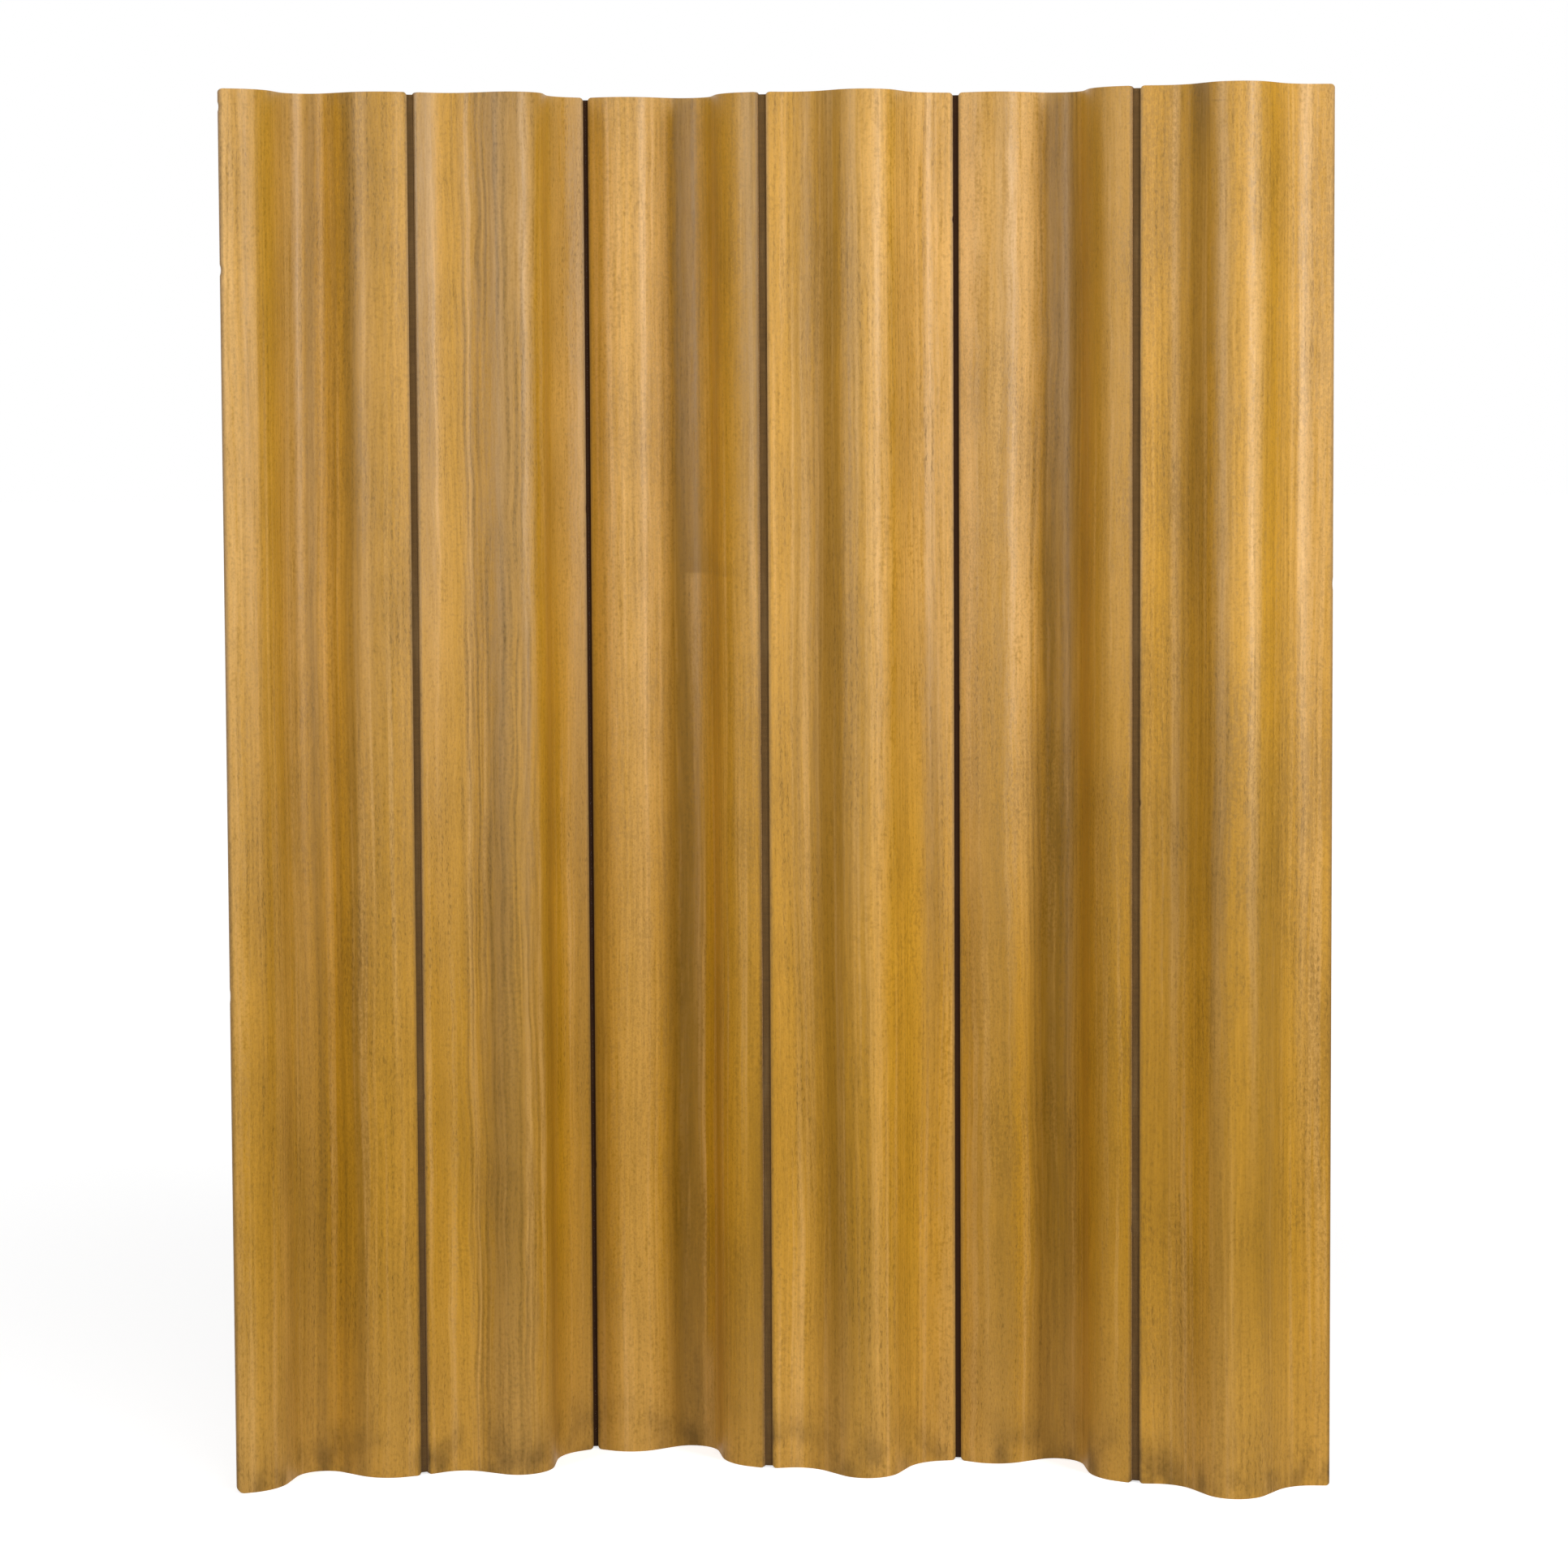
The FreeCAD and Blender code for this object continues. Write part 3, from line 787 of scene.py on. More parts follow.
@dataclass(frozen=True)
class CanvasFinish(Finish):
    """Aged woven cotton canvas: a plain weave with slubs, dusty in places."""

    thread: Colour = (0.120, 0.063, 0.017, 1.0)
    shade: Colour = (0.051, 0.025, 0.006, 1.0)
    dust: Colour = (0.190, 0.120, 0.050, 1.0)
    pitch: float = 0.9 * MM
    waver: Grain = Grain(90.0, 35.0, 2.0)
    waver_reach: float = 0.5
    thread_span: Span = (0.05, 0.85)
    warp_slub: Grain = Grain(300.0, 18.0, 4.0)
    weft_slub: Grain = Grain(20.0, 300.0, 6.0)
    slub_tone: float = 0.45
    slub_height: float = 0.25
    age: Grain = Grain(40.0, 7.0, 9.0, 4.0)
    dust_span: Span = (0.0, 0.3)
    dustiness: float = 0.55
    roughness: float = 0.91
    rough_depth: float = 0.1
    specular: float = 0.15
    sheen: float = 0.12
    relief: float = 0.25 * MM
    relief_strength: float = 0.7

    def dress(self, tree: ShaderTree) -> None:
        """Add the nodes of the look.

        Args:
            tree: the material's empty tree.
        """
        u, v = tree.plane()
        waver = self.waver.on(tree, u, v) * self.waver_reach
        warp = u / self.pitch + waver
        weft = v / self.pitch + waver
        over = ((warp.whole() + weft.whole()) / 2).fraction() * 2
        warp_side = warp.fraction() * 2 - 1
        weft_side = weft.fraction() * 2 - 1
        height = over * (1 - warp_side * warp_side) + (1 - over) * (1 - weft_side * weft_side)
        slub = self.warp_slub.on(tree, u, v) + self.weft_slub.on(tree, u, v)
        age = self.age.on(tree, u, v)
        colour = tree.mix(height.smooth(*self.thread_span), self.shade, self.thread)
        colour = tree.mix(age.smooth(*self.dust_span) * self.dustiness, colour, self.dust)
        tree.surface({
            "Base Color": tree.scale(colour, slub * self.slub_tone + 1),
            "Roughness": age * self.rough_depth + self.roughness,
            "Specular IOR Level": self.specular,
            "Sheen Weight": self.sheen,
            "Normal": tree.bump(height + slub * self.slub_height, self.relief, self.relief_strength),
        })


def unit(heading: float) -> np.ndarray:
    """Unit vector in plan with this heading."""
    return np.array([math.cos(heading), math.sin(heading)])


@dataclass
class PlanFrame:
    """Where one panel stands in plan: the middle of its chord and the direction of its chord."""

    middle: np.ndarray
    heading: float

    @property
    def along(self) -> np.ndarray:
        """Unit vector from the left edge to the right edge."""
        return unit(self.heading)

    @property
    def away(self) -> np.ndarray:
        """Unit vector square to the chord, away from the viewer."""
        return np.array([-math.sin(self.heading), math.cos(self.heading)])

    def lay(self, across: np.ndarray, deep: np.ndarray, up: np.ndarray) -> np.ndarray:
        """Points in the row, from places along the chord, depths away from the viewer and heights."""
        plan = self.middle + across[..., None] * self.along + deep[..., None] * self.away
        return np.concatenate([plan, up[..., None]], axis=-1)


class Row:
    """The plan of the whole row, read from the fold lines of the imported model."""

    def __init__(self, section: Section) -> None:
        """Read the fold lines and work out where each panel stands.

        Args:
            section: the wave of a panel, for its width.
        """
        lines = {joint["name"]: np.array(joint["pos_m"][:2]) for joint in frame["joints"]}
        hinges = range(1, PANEL_COUNT)
        self.left_fold = {hinge: lines[f"hinge_{hinge}_left_fold"] for hinge in hinges}
        self.right_fold = {hinge: lines[f"hinge_{hinge}_right_fold"] for hinge in hinges}
        self.web_turn = {
            hinge: self.direction(self.left_fold[hinge], self.right_fold[hinge])
            for hinge in hinges
        }
        reach = float(np.linalg.norm(self.left_fold[2] - self.right_fold[1])) / 2
        self.setback = reach - section.half_width
        self.span = float(np.linalg.norm(self.right_fold[1] - self.left_fold[1]))
        heading = {
            panel: self.direction(self.right_fold[panel - 1], self.left_fold[panel])
            for panel in range(2, PANEL_COUNT)
        }
        # A web halves the turn between its two panels
        heading[1] = 2 * self.web_turn[1] - heading[2]
        heading[PANEL_COUNT] = 2 * self.web_turn[PANEL_COUNT - 1] - heading[PANEL_COUNT - 1]
        self.panels: dict[int, PlanFrame] = {}
        for panel in range(1, PANEL_COUNT + 1):
            if panel < PANEL_COUNT:
                middle = self.left_fold[panel] - reach * unit(heading[panel])
            else:
                middle = self.right_fold[panel - 1] + reach * unit(heading[panel])
            self.panels[panel] = PlanFrame(middle, heading[panel])

    @staticmethod
    def direction(start: np.ndarray, end: np.ndarray) -> float:
        """Direction in plan from one point to another, in radians."""
        return math.atan2(end[1] - start[1], end[0] - start[0])


@dataclass
class PlyStack:
    """The five plies of a panel, from the front: how far each lies from the mid surface."""

    core: float = 1.6 * MM
    crossband: float = 1.6 * MM
    veneer: float = 1.0 * MM
    glue: float = 0.05 * MM

    @property
    def crossband_span(self) -> tuple[float, float]:
        """Nearer and further face of a crossband."""
        near = self.core / 2 + self.glue
        return near, near + self.crossband

    @property
    def veneer_span(self) -> tuple[float, float]:
        """Nearer and further face of a veneer."""
        near = self.crossband_span[1] + self.glue
        return near, near + self.veneer


@dataclass
class Panel:
    """One pressed panel: five plies that ride on one body."""

    number: int
    plan: PlanFrame
    section: Section
    front_leaf: Leaf
    back_leaf: Leaf
    stack: PlyStack = field(default_factory=PlyStack)
    chips: tuple[Chip, ...] = ()
    height: float = PANEL_HEIGHT
    corner: float = 5 * MM
    broken_foot: float = 0.0
    slot_depth: float = 17 * MM
    arris: float = 0.35 * MM
    edge_steps: tuple[float, ...] = (0.0, 0.06 * MM, 0.16 * MM, 0.35 * MM, 0.6 * MM, 1.2 * MM, 2.2 * MM,
                                     3.5 * MM, 5.2 * MM, 8 * MM, 12 * MM, 16 * MM)
    end_steps: tuple[float, ...] = (0.0, 0.06 * MM, 0.16 * MM, 0.35 * MM, 0.6 * MM, 1.5 * MM)
    end_gap: float = 6 * MM
    row_gap: float = 44 * MM
    chip_reach: float = 9 * MM
    chip_steps: tuple[float, ...] = (-1.0, -0.6, -0.25, 0.0, 0.25, 0.6, 1.0)

    @property
    def body(self) -> str:
        """Name of the body that the panel rides on."""
        return f"panel_{self.number}"

    @property
    def crown_side(self) -> float:
        """1 where the crown is away from the viewer, -1 where it is towards the viewer."""
        return 1.0 if self.number % 2 == 1 else -1.0

    def rows(self) -> np.ndarray:
        """Place the rows of points between the end rows, with close ones at each chip.

        Returns:
            Their heights, from the foot up.
        """
        low = max(self.corner, self.broken_foot) + self.end_gap
        count = int((self.height - 2 * low) / self.row_gap)
        heights = set(np.linspace(low, self.height - low, count))
        for chip in self.chips:
            heights |= {chip.height + chip.length * step for step in self.chip_steps}
        return np.array(sorted(heights))

    def worn(self, run: np.ndarray, up: np.ndarray) -> np.ndarray:
        """How far points move along the section where an edge is chipped.

        Args:
            run: lengths along the section.
            up: heights.

        Returns:
            Metres to the right.
        """
        moved = np.zeros_like(run)
        for chip in self.chips:
            inward = run if chip.on_left else self.section.girth - run
            share = np.clip(1 - inward / self.chip_reach, 0.0, 1.0)
            bite = np.clip(1 - ((up - chip.height) / chip.length) ** 2, 0.0, 1.0)
            moved += (1 if chip.on_left else -1) * chip.depth * share * bite
        return moved

    def ply(self, near: float, far: float, slotted: bool, rounded: Optional[Patch]) -> Shell:
        """The shell of one ply.

        Args:
            near: distance of its front face from the mid surface, away from the viewer.
            far: distance of its back face.
            slotted: whether it stops short of the hinged edges, to leave the slot for the canvas.
            rounded: the side whose borders have a rounded arris.

        Returns:
            The shell, in the row's frame.
        """
        girth = self.section.girth
        left = self.slot_depth if slotted and self.number > 1 else 0.0
        right = girth - (self.slot_depth if slotted and self.number < PANEL_COUNT else 0.0)
        run = self.section.columns(left, right, self.edge_steps)
        foot = rounding(np.minimum(run, girth - run), self.corner)
        top = self.height - foot
        if self.broken_foot:
            foot = np.maximum(foot, rounding(run, self.broken_foot))
        ends = np.array(self.end_steps)[:, None]
        middle = self.rows()[:, None] + 0 * run[None, :]
        up = np.concatenate([foot[None, :] + ends, middle, top[None, :] - ends[::-1]])
        run = run[None, :] + 0 * up
        fall = rounding(np.minimum(run - left, right - run), self.arris)
        fall = fall + rounding(np.minimum(up - foot, top - up), self.arris)
        fall = np.minimum(fall, self.arris)
        across, rise, heading = self.section.place(run + self.worn(run, up))
        rise, heading = rise * self.crown_side, heading * self.crown_side
        sides = []
        for offset, patch, inward in ((near, Patch.FRONT, 1.0), (far, Patch.BACK, -1.0)):
            set_off = offset + (inward * fall if rounded is patch else 0.0)
            along, deep = across - set_off * np.sin(heading), rise + set_off * np.cos(heading)
            sides.append(self.plan.lay(along, deep, up))
        return Shell(sides[0], sides[1], np.stack([run, up], axis=-1))

    def build(self, crossband: bpy.types.Material, core: bpy.types.Material) -> None:
        """Make, dress and mount the five plies.

        Args:
            crossband: finish of the two crossbands.
            core: finish of the core.
        """
        cross_near, cross_far = self.stack.crossband_span
        face_near, face_far = self.stack.veneer_span
        half_core = self.stack.core / 2
        girth = self.section.girth
        front = VeneerFinish(self.front_leaf, girth).material(f"{self.body}_front_veneer_finish")
        back = VeneerFinish(self.back_leaf, girth).material(f"{self.body}_back_veneer_finish")
        plies = [
            ("front_face", "front_veneer", self.ply(-face_far, -face_near, False, Patch.FRONT),
             FRONT_FACE_LAYOUT, front, "face_veneer"),
            ("front_crossply", "front_crossband", self.ply(-cross_far, -cross_near, False, None),
             INNER_PLY_LAYOUT, crossband, "crossband"),
            ("core_ply", "core", self.ply(-half_core, half_core, True, None),
             INNER_PLY_LAYOUT, core, "core_ply"),
            ("back_crossply", "back_crossband", self.ply(cross_near, cross_far, False, None),
             INNER_PLY_LAYOUT, crossband, "crossband"),
            ("back_face", "back_veneer", self.ply(face_near, face_far, False, Patch.BACK),
             BACK_FACE_LAYOUT, back, "face_veneer"),
        ]
        for piece_name, node, shell, layout, finish, slot in plies:
            piece = shell.build(f"{self.body}_{piece_name}", layout, finish)
            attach(piece, self.body)
            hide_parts(f"{self.body}_{node}")
            log.info("%s: %d faces", piece.name, len(piece.data.polygons))


class HingeHalf(Enum):
    """The two halves of a canvas strip, parted at the middle of its web."""

    LEFT = "left"
    RIGHT = "right"


@dataclass
class CanvasHinge:
    """One canvas strip: a tail in each panel edge and the free web between, which bends at two fold lines."""

    number: int
    row: Row
    finish: bpy.types.Material
    thickness: float = 1.4 * MM
    tail: float = 16.5 * MM
    inset: float = 3 * MM
    panel_height: float = PANEL_HEIGHT
    bend: float = 1.1 * MM
    border: float = 0.3 * MM
    pucker: float = 0.16 * MM
    long_wave: float = 71.0
    long_wave_shift: float = 2.1
    long_wave_share: float = 0.6
    short_wave: float = 183.0
    short_wave_share: float = 0.4
    row_gap: float = 9 * MM
    flat_points: int = 12
    bend_points: int = 9

    def fold_of(self, half: HingeHalf) -> tuple[np.ndarray, float, float]:
        """Where a half bends.

        Args:
            half: which half.

        Returns:
            Its fold line in plan, and the directions of the cloth before and after it.
        """
        web = self.row.web_turn[self.number]
        if half is HingeHalf.LEFT:
            return self.row.left_fold[self.number], self.row.panels[self.number].heading, web
        return self.row.right_fold[self.number], web, self.row.panels[self.number + 1].heading

    def strip(self, half: HingeHalf) -> Shell:
        """The shell of one half, bent along its fold line.

        Args:
            half: which half.

        Returns:
            The shell, in the row's frame.
        """
        outer = self.row.setback + self.tail
        web = self.row.span / 2
        fold, first, last = self.fold_of(half)
        start, end = (-outer, web) if half is HingeHalf.LEFT else (-web, outer)
        run = np.unique(np.concatenate([
            np.linspace(start, end, self.flat_points),
            np.linspace(-self.bend, self.bend, self.bend_points),
            [start + self.border, end - self.border],
        ]))
        share = np.clip((run + self.bend) / (2 * self.bend), 0.0, 1.0)
        heading = first + (last - first) * share * share * (3 - 2 * share)
        steps = np.diff(run)
        turn = (heading[1:] + heading[:-1]) / 2
        plan = np.concatenate([
            np.zeros((1, 2)),
            np.cumsum(np.stack([steps * np.cos(turn), steps * np.sin(turn)], axis=1), axis=0),
        ])
        fold_index = int(np.argmin(np.abs(run)))
        plan = plan - plan[fold_index] + fold
        low, high = self.inset, self.panel_height - self.inset
        count = int((high - low) / self.row_gap)
        between = np.linspace(low, high, count)[1:-1]
        up = np.concatenate([[low, low + self.border], between, [high - self.border, high]])
        # The web is slack by a hair: it puckers between the panel edges and lies flat in its slots
        toward_web = 1.0 if half is HingeHalf.LEFT else -1.0
        free = np.clip((run * toward_web + self.row.setback) / (web + self.row.setback), 0.0, 1.0)
        wave = np.sin(up * self.long_wave + self.number * self.long_wave_shift) * self.long_wave_share
        wave = wave + np.sin(up * self.short_wave + self.number) * self.short_wave_share
        slack = self.pucker * wave[:, None] * (free * free)[None, :]
        away = np.stack([-np.sin(heading), np.cos(heading)], axis=1)
        round_end = rounding(np.minimum(up - low, high - up), self.border)[:, None]
        half_thick = self.thickness / 2 - round_end + 0 * run[None, :]
        grids = []
        for offset in (slack - half_thick, slack + half_thick):
            spot = plan[None, :, :] + offset[..., None] * away[None, :, :]
            height = np.broadcast_to(up[:, None, None], (*offset.shape, 1))
            grids.append(np.concatenate([spot, height], axis=-1))
        across = run - start if half is HingeHalf.LEFT else run - start + outer + web
        grain = np.stack(np.broadcast_arrays(across[None, :], up[:, None] + 0 * across[None, :]), axis=-1)
        return Shell(grids[0], grids[1], grain)

    def build(self) -> None:
        """Make and dress both halves, and hide the imported nodes that they stand in for."""
        left_body, right_body = f"panel_{self.number}", f"panel_{self.number + 1}"
        web_body = f"web_{self.number}"
        halves = [
            (HingeHalf.LEFT, (left_body, web_body), ("left_tail", "web")),
            (HingeHalf.RIGHT, (web_body, right_body), ("right_tail",)),
        ]
        for half, bodies, nodes in halves:
            name = f"hinge_{self.number}_canvas_{half.value}"
            piece = self.strip(half).build(name, CLOTH_LAYOUT, self.finish)
            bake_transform(piece)
            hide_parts(*[f"hinge_{self.number}_{node}" for node in nodes])
            log.info("%s: %d faces", piece.name, len(piece.data.polygons))


@dataclass(frozen=True)
class Softbox:
    """A studio light with a soft front, aimed at the middle of the screen."""

    name: str
    azimuth: float
    distance: float
    height: float
    width: float
    tall: float
    glow: float
    aim_height: float = 0.9

    def build(self) -> None:
        """Hang the light. Glow is how bright its front looks, where white paper in plain light is 1."""
        lamp = bpy.data.lights.new(self.name, "AREA")
        lamp.shape = "RECTANGLE"
        lamp.size, lamp.size_y = self.width, self.tall
        lamp.energy = self.glow * math.pi * self.width * self.tall
        holder = bpy.data.objects.new(self.name, lamp)
        turn = math.radians(self.azimuth)
        holder.location = (self.distance * math.sin(turn), -self.distance * math.cos(turn), self.height)
        aim = Vector((0.0, 0.0, self.aim_height)) - holder.location
        holder.rotation_mode = "QUATERNION"
        holder.rotation_quaternion = aim.to_track_quat("-Z", "Y")
        bpy.context.scene.collection.objects.link(holder)
        log.info("light %s", self.name)


@dataclass(frozen=True)
class Camera:
    """The photograph's camera: its place, aim and lens, with the lens height shift of its framing."""

    place: tuple[float, float, float] = (0.03628, -5.13381, 1.38119)
    pitch_down: float = 3.8284
    yaw: float = 0.3484
    roll: float = -0.2764
    focal_pixels: float = 5102.8
    centre_row: float = 800.0
    sensor: float = 36.0
    far_clip: float = 200.0

    def build(self) -> None:
        """Make it the scene's camera."""
        data = bpy.data.cameras.new("photo_camera")
        data.sensor_width = self.sensor
        data.lens = self.focal_pixels / PHOTO_SIDE * data.sensor_width
        data.shift_y = (self.centre_row - PHOTO_SIDE / 2) / PHOTO_SIDE
        data.clip_end = self.far_clip
        holder = bpy.data.objects.new("photo_camera", data)
        turn = Matrix.Rotation(math.radians(self.yaw), 4, "Z")
        tilt = Matrix.Rotation(math.radians(90 - self.pitch_down), 4, "X")
        lean = Matrix.Rotation(math.radians(self.roll), 4, "Z")
        holder.matrix_world = Matrix.Translation(self.place) @ turn @ tilt @ lean
        bpy.context.scene.collection.objects.link(holder)
        bpy.context.scene.camera = holder


@dataclass
class Studio:
    """Pale floor, white surround, softboxes and camera."""

    floor_reach: float = 40.0
    floor_dark: Colour = (0.61, 0.61, 0.61, 1.0)
    floor_light: Colour = (0.65, 0.65, 0.65, 1.0)
    tooth_scale: float = 60.0
    tooth_detail: float = 3.0
    near_lift: float = 0.66
    far_lift: float = 0.84
    lift_span: Span = (0.8, 4.5)
    surround_light: float = 0.36
    boxes: tuple[Softbox, ...] = (
        Softbox("key_box", azimuth=46.0, distance=2.8, height=1.75, width=0.55, tall=1.9, glow=14.2),
        Softbox("fill_box", azimuth=-45.0, distance=2.9, height=1.75, width=0.60, tall=1.9, glow=6.8),
        Softbox("top_box", azimuth=5.0, distance=2.2, height=3.3, width=2.6, tall=1.4, glow=2.3),
        Softbox("front_wall", azimuth=0.0, distance=5.7, height=1.55, width=6.0, tall=2.3, glow=1.3,
                aim_height=1.55),
    )

    @staticmethod
    def seen_ray(tree: ShaderTree) -> Signal:
        """Tell the rays that look at the background from those that light the screen.

        Args:
            tree: the tree that asks.

        Returns:
            1 for rays from the camera, off a glossy surface or through glass, and 0 for others.
        """
        camera = tree.node("ShaderNodeLightPath", None, None, "Is Camera Ray")
        outputs = camera.socket.node.outputs
        glossy = Signal(tree, outputs["Is Glossy Ray"])
        return camera.most(glossy).most(Signal(tree, outputs["Is Transmission Ray"]))

    def floor(self) -> None:
        """Lay the floor: white to the camera, with the screen's soft shadow on it."""
        tree, material = ShaderTree.of_material("floor_paper")
        spot = tree.node("ShaderNodeTexCoord", None, None, "Object")
        scales = {"Vector": spot, "Scale": self.tooth_scale, "Detail": self.tooth_detail}
        tooth = tree.node("ShaderNodeTexNoise", None, scales)
        paper = tree.mix(tooth, self.floor_dark, self.floor_light)
        plain = {"Base Color": paper, "Roughness": 1.0, "Specular IOR Level": 0.0}
        matt = tree.node("ShaderNodeBsdfPrincipled", None, plain)
        away = tree.node("ShaderNodeVectorMath", {"operation": "LENGTH"}, {0: spot}, "Value")
        strength = away.smooth(*self.lift_span) * (self.far_lift - self.near_lift) + self.near_lift
        glow = {"Emission Color": tree.scale(WHITE[:3], strength), "Emission Strength": 1.0}
        lifted = tree.node("ShaderNodeBsdfPrincipled", None, {**plain, **glow})
        tree.finish(tree.node("ShaderNodeMixShader", None, {0: self.seen_ray(tree), 1: matt, 2: lifted}))
        mesh = bpy.data.meshes.new("floor")
        reach = self.floor_reach
        corners = [(-reach, -reach, 0.0), (reach, -reach, 0.0), (reach, reach, 0.0), (-reach, reach, 0.0)]
        mesh.from_pydata(corners, [], [(0, 1, 2, 3)])
        mesh.materials.append(material)
        floor = bpy.data.objects.new("floor", mesh)
        bpy.context.scene.collection.objects.link(floor)

    def surround(self) -> None:
        """Light from all round at a plain level, seen as white."""
        world = bpy.data.worlds.new("white_surround")
        world.use_nodes = True
        bpy.context.scene.world = world
        tree = ShaderTree(world.node_tree, "ShaderNodeOutputWorld")
        dim = tree.node("ShaderNodeBackground", None, {"Color": WHITE, "Strength": self.surround_light})
        bright = tree.node("ShaderNodeBackground", None, {"Color": WHITE, "Strength": 1.0})
        tree.finish(tree.node("ShaderNodeMixShader", None, {0: self.seen_ray(tree), 1: dim, 2: bright}))

    def build(self) -> None:
        """Set up the whole studio."""
        self.floor()
        self.surround()
        for box in self.boxes:
            box.build()
        Camera().build()
        bpy.context.scene.view_settings.view_transform = "Standard"


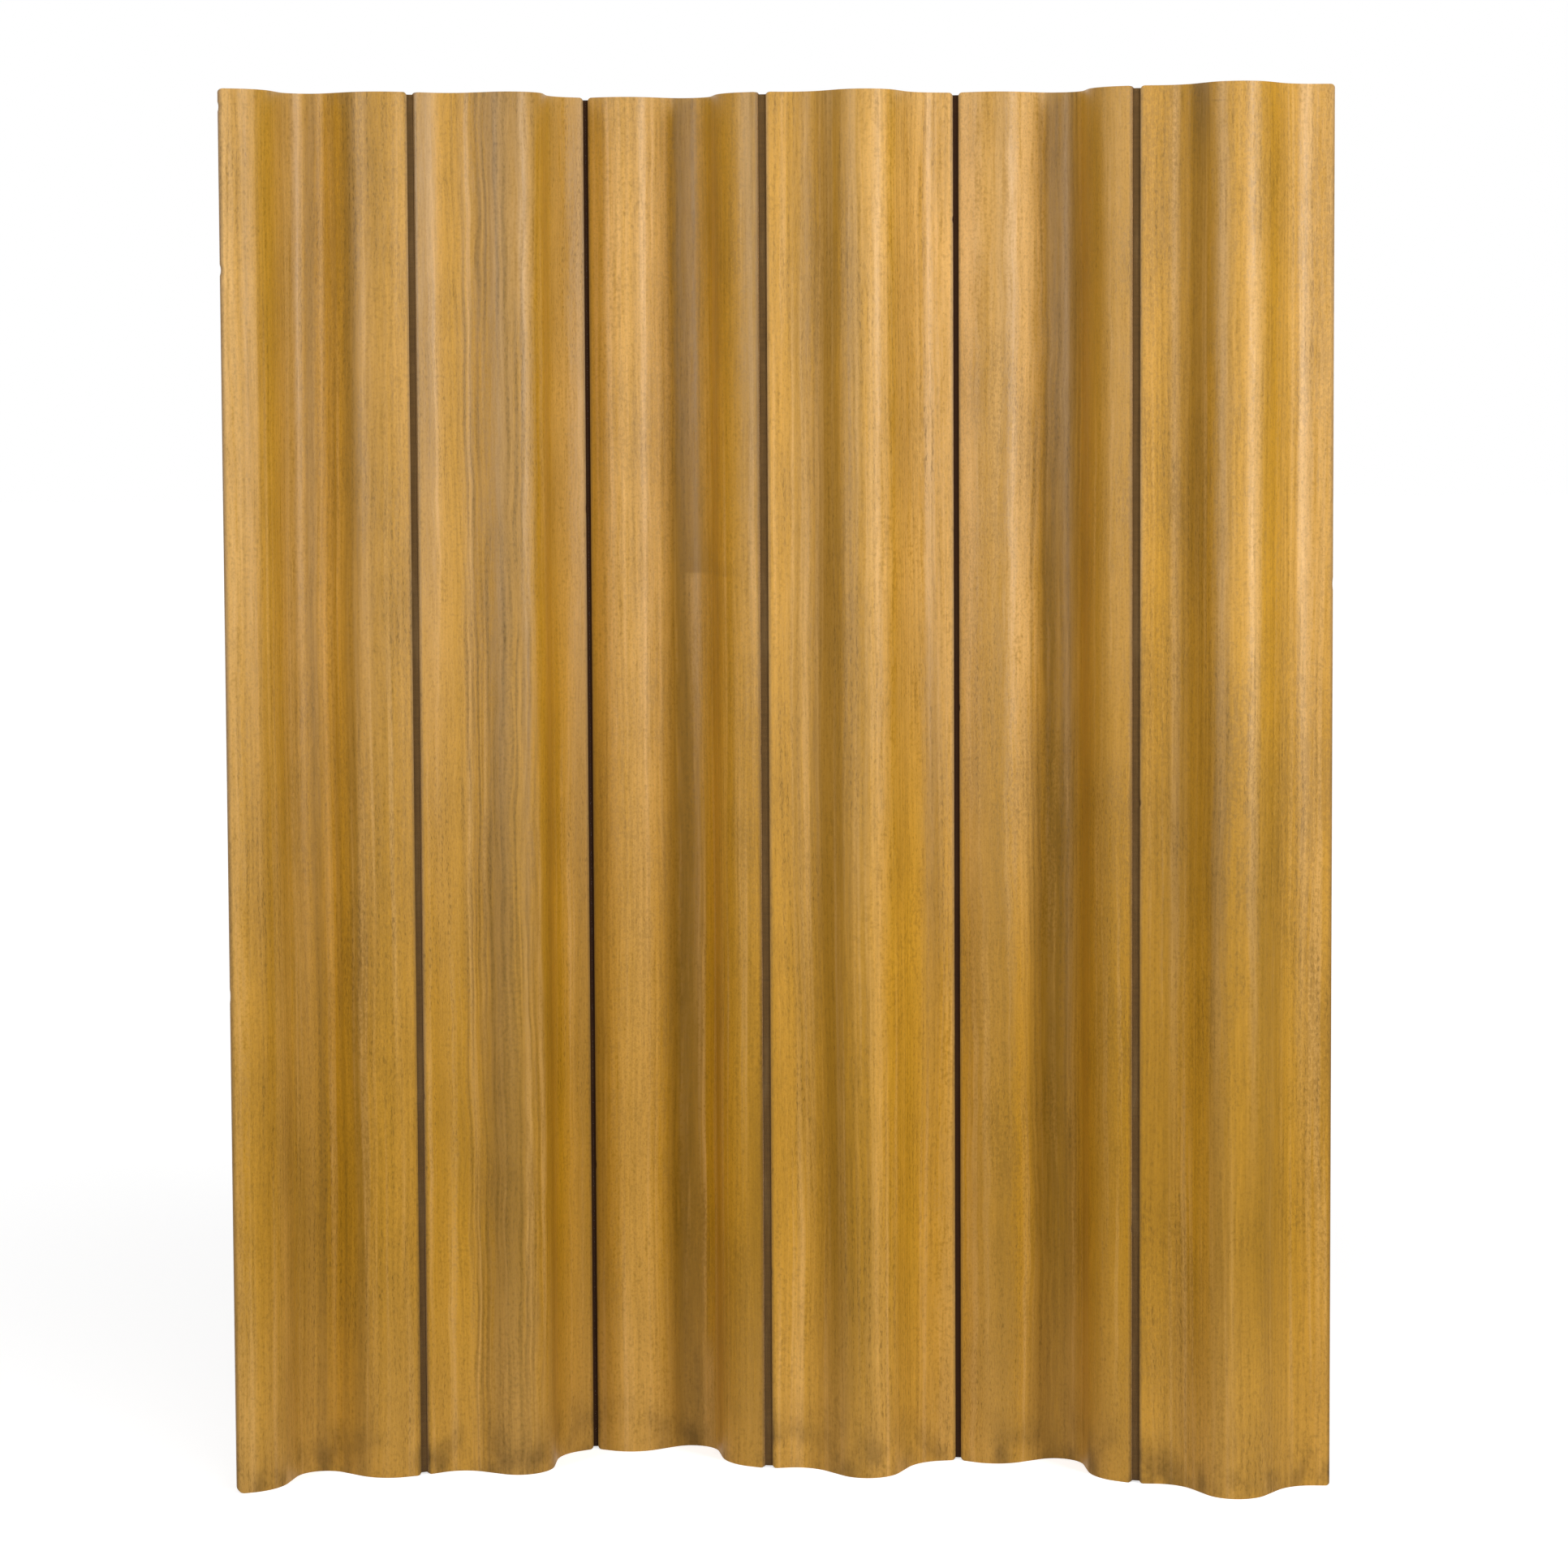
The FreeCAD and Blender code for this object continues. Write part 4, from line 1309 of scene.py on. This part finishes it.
# A leaf starts with its seed, and the place, depth and rise of its heart. A streak starts with its place
# across the sheet, its half width and its strength, and then has the heights that it lies between.
# Many streaks stand in for light: pale and taupe streaks where the softboxes' reflections fall, most of them
# only high on a sheet, are painted highlights; gold streaks are partly painted light on slopes that face
# left; dark streaks in the hollows of panels 3 and 5 are partly painted shade.
FRONT_LEAVES: tuple[Leaf, ...] = (
    Leaf(1.3, 0.420, 0.10, 0.012, tone=0.95, smokiness=0.42, streaks=(
        GOLD.at(84, 50, 45), PALE.at(84, 44, 40, high=750), PALE.at(0, 22, 55), PALE.at(112, 28, 45, 850),
        PALE.at(185, 8, 50, 600), SMOKE_AND_SHADE.at(165, 7, 30, 500, 1100), AMBER.at(185, 48, 50),
        TAUPE.at(128, 22, 35), SMOKE_AND_SHADE.at(156, 11, 45), SMOKE_AND_SHADE.at(190, 7, 30), SMOKE_AND_SHADE.at(214, 20, 48),
        SMOKE_AND_SHADE.at(245, 30, 22, 800),
    )),
    Leaf(4.1, 0.104, 0.003, 0.0, pitch=6.6 * MM, spread=0.30, figure=0.58, figure_from=0.050, figure_to=0.155,
         curl=7.5 * MM, curl_rate=11.0, tone=0.95, smokiness=0.34, porosity=0.55, streaks=(
        AMBER.at(51, 18, 75), TAUPE.at(118, 60, 80), SMOKE_AND_SHADE.at(118, 44, 24, 300, 1150),
        AMBER.at(204, 50, 70), GOLD.at(212, 60, 60, 1250), PALE.at(248, 30, 50, 1150),
        SMOKE_AND_SHADE.at(6, 24, 34, 1200), SMOKE_AND_SHADE.at(18, 14, 25, 1100), AMBER.at(130, 12, 40, 550, 1200),
        PALE.at(150, 12, 45, 1100), SMOKE_AND_SHADE.at(180, 40, 34, high=800), SMOKE_AND_SHADE.at(45, 50, 16, 300, 600, 120),
        SMOKE_AND_SHADE.at(290, 36, 32),
    )),
    Leaf(9.7, 0.390, 0.10, 0.012, tone=0.97, smokiness=0.46, porosity=0.32, streaks=(
        PALE.at(62, 50, 35), AMBER.at(200, 62, 42), GOLD.at(190, 48, 60, 900), PALE.at(158, 18, 40, 900),
        PALE.at(104, 10, 45, 1150), AMBER.at(122, 22, 50, high=1200, dull=1.5), SMOKE_AND_SHADE.at(121, 14, 32),
        SMOKE_AND_SHADE.at(131, 30, 52), SMOKE_AND_SHADE.at(116, 46, 34, high=900), SMOKE_AND_SHADE.at(6, 22, 36, high=900),
        SMOKE_AND_SHADE.at(284, 40, 35, high=550), SMOKE_AND_SHADE.at(280, 32, 45, 1200),
        PALE.at(141, 13, 45, 950, 1127, 150, top_fade=3), SMOKE_AND_SHADE.at(155, 40, 36, 1127, 1180, 3, top_fade=50),
        SMOKE_AND_SHADE.at(225, 64, 24, 1126, 1138, 3, top_fade=12), SMOKE_AND_SHADE.at(138, 10, 75, high=130, fade=30),
        PALE.at(158, 16, 75, high=130, fade=30),
    )),
    Leaf(15.6, -0.110, 0.09, 0.010, tone=1.02, smokiness=0.34, streaks=(
        SMOKE_AND_SHADE.at(92, 46, 48), SMOKE_AND_SHADE.at(128, 26, 25), PALE.at(150, 18, 30), GOLD.at(206, 54, 60),
        PALE.at(214, 50, 60, 900), PALE.at(288, 30, 45), PALE.at(234, 22, 60, 1050),
        PALE.at(165, 16, 40, 800), SMOKE_AND_SHADE.at(140, 12, 26, high=1100), SMOKE_AND_SHADE.at(40, 14, 28, 450, 1100),
        SMOKE_AND_SHADE.at(258, 26, 40, 550, 1100), SMOKE_AND_SHADE.at(46, 34, 26, 950),
    )),
    Leaf(17.9, 0.122, 0.010, -0.002, pitch=6.8 * MM, spread=0.20, figure=0.42, curl=6.0 * MM, curl_rate=18.0,
         smokiness=0.46, figure_from=0.085, figure_to=0.170, streaks=(
        TAUPE.at(36, 46, 40), PALE.at(86, 34, 75, 750), PALE.at(8, 34, 50, 900), SMOKE_AND_SHADE.at(58, 20, 26),
        PALE.at(104, 10, 50, 1150), AMBER.at(125, 24, 50, high=1200, dull=1.7), SMOKE_AND_SHADE.at(121, 16, 42),
        SMOKE_AND_SHADE.at(104, 30, 45, high=900), SMOKE_AND_SHADE.at(138, 26, 60), TAUPE.at(122, 26, 25, 900),
        TAUPE.at(158, 18, 45), SMOKE_AND_SHADE.at(152, 4.5, 60, 1350), SMOKE_AND_SHADE.at(161, 3.5, 45, 1150),
        AMBER.at(204, 58, 55), SMOKE_AND_SHADE.at(190, 60, 25), GOLD.at(200, 36, 50, 1450), SMOKE_AND_SHADE.at(250, 60, 28),
        SMOKE_AND_SHADE.at(20, 45, 26, 150, 850),
    )),
    Leaf(21.4, 0.420, 0.12, 0.012, tone=0.97, smokiness=0.50, streaks=(
        SMOKE_AND_SHADE.at(80, 42, 45, 950), AMBER.at(200, 50, 40), AMBER.at(145, 150, 80, 400, 1100),
        PALE.at(290, 22, 60, 1150), AMBER.at(192, 28, 80, 600, dull=0.9),
        SMOKE_AND_SHADE.at(84, 32, 65, 1650, fade=60), SMOKE_AND_SHADE.at(122, 16, 75, 1703.5, 1705.5, 1),
        AMBER.at(60, 24, 50, 900, dull=0.9), AMBER.at(18, 32, 50, 500, 1300, dull=0.8),
        PALE.at(46, 9, 45, 500), PALE.at(125, 10, 45, 500), PALE.at(166, 11, 70, 500),
        PALE.at(256, 15, 50, 500), TAUPE.at(126, 22, 45), SMOKE_AND_SHADE.at(20, 40, 40, 300, 900, 100),
        SMOKE_AND_SHADE.at(100, 90, 24, 700, 980, 60), SMOKE_AND_SHADE.at(190, 80, 42, 200, 850, 120),
    )),
)
BACK_LEAVES: tuple[Leaf, ...] = (
    Leaf(31.3, 0.120, 0.012, 0.003, pitch=6.0 * MM, spread=0.4, figure=0.50, curl=5.0 * MM, streaks=(
        TAUPE.at(120, 40, 60), AMBER.at(220, 40, 55),
    )),
    Leaf(34.6, 0.400, 0.10, 0.014, streaks=(
        SMOKE_AND_SHADE.at(60, 25, 45), SMOKE_AND_SHADE.at(200, 30, 30), AMBER.at(130, 30, 50),
    )),
    Leaf(38.2, 0.190, 0.012, -0.003, pitch=5.8 * MM, spread=0.5, figure=0.55, curl=6.0 * MM, streaks=(
        TAUPE.at(190, 44, 70), AMBER.at(80, 40, 55),
    )),
    Leaf(41.8, -0.100, 0.10, 0.012, streaks=(
        SMOKE_AND_SHADE.at(200, 30, 50), SMOKE_AND_SHADE.at(70, 20, 35), PALE.at(130, 30, 40),
    )),
    Leaf(45.5, 0.150, 0.014, 0.002, pitch=6.4 * MM, spread=0.3, figure=0.45, curl=4.0 * MM, streaks=(
        TAUPE.at(150, 34, 55), SMOKE_AND_SHADE.at(250, 16, 35), AMBER.at(60, 36, 50),
    )),
    Leaf(49.1, 0.410, 0.11, 0.016, streaks=(
        SMOKE_AND_SHADE.at(90, 28, 50), SMOKE_AND_SHADE.at(225, 20, 30), AMBER.at(160, 36, 50),
    )),
)
# The chips of each panel: whether on its left edge, height, half length and depth
CHIPS: dict[int, tuple[Chip, ...]] = {
    1: (Chip(True, 1.508, 7 * MM, 1.3 * MM), Chip(True, 1.705, 6 * MM, 1.0 * MM),
        Chip(True, 0.62, 9 * MM, 0.6 * MM)),
    2: (Chip(True, 0.48, 6 * MM, 0.6 * MM), Chip(False, 1.21, 7 * MM, 0.5 * MM)),
    3: (Chip(True, 0.37, 6 * MM, 0.7 * MM), Chip(False, 0.91, 7 * MM, 0.6 * MM)),
    4: (Chip(False, 1.57, 5 * MM, 0.8 * MM), Chip(True, 0.25, 7 * MM, 0.5 * MM)),
    5: (Chip(True, 0.96, 5 * MM, 0.8 * MM), Chip(False, 0.32, 6 * MM, 0.8 * MM)),
    6: (Chip(True, 0.85, 5 * MM, 0.9 * MM), Chip(False, 1.12, 8 * MM, 0.6 * MM)),
}
BROKEN_FOOT: dict[int, float] = {1: 9 * MM}
# Hinges 2 and 4 sit in the valley folds: their canvas is painted near black, a painted shade of those deep
# creases
SHADE_PAINTED_HINGES = (2, 4)
CROSSBAND_FINISH = PlyFinish(
    light=(0.42, 0.25, 0.11, 1.0),
    dark=(0.24, 0.13, 0.05, 1.0),
    fibre=Grain(60.0, 900.0, 3.0, 3.0),
)
CORE_FINISH = PlyFinish(
    light=(0.50, 0.33, 0.16, 1.0),
    dark=(0.30, 0.18, 0.08, 1.0),
    fibre=Grain(900.0, 60.0, 3.0, 3.0),
)
# Painted shade: the canvas of the valley-fold hinges, darkened for the shade in their creases
SHADE_PAINTED_CANVAS_FINISH = CanvasFinish(
    thread=(0.036, 0.012, 0.002, 1.0),
    shade=(0.015, 0.005, 0.001, 1.0),
    dust=(0.056, 0.027, 0.007, 1.0),
)


def main() -> None:
    """Build the screen piece by piece, then the studio round it."""
    logging.basicConfig(level=logging.INFO, format="%(name)s: %(message)s")
    section = Section()
    row = Row(section)
    crossband = CROSSBAND_FINISH.material("crossband_edge")
    core = CORE_FINISH.material("core_edge")
    canvas = CanvasFinish().material("hinge_canvas")
    # painted shade for the canvas in the valley folds
    shaded_canvas = SHADE_PAINTED_CANVAS_FINISH.material("shade_painted_hinge_canvas")
    for number in range(1, PANEL_COUNT + 1):
        panel = Panel(number, row.panels[number], section, FRONT_LEAVES[number - 1], BACK_LEAVES[number - 1],
                      chips=CHIPS[number], broken_foot=BROKEN_FOOT.get(number, 0.0))
        panel.build(crossband, core)
    for number in range(1, PANEL_COUNT):
        CanvasHinge(number, row, shaded_canvas if number in SHADE_PAINTED_HINGES else canvas).build()
    Studio().build()


if __name__ == "__main__":
    main()
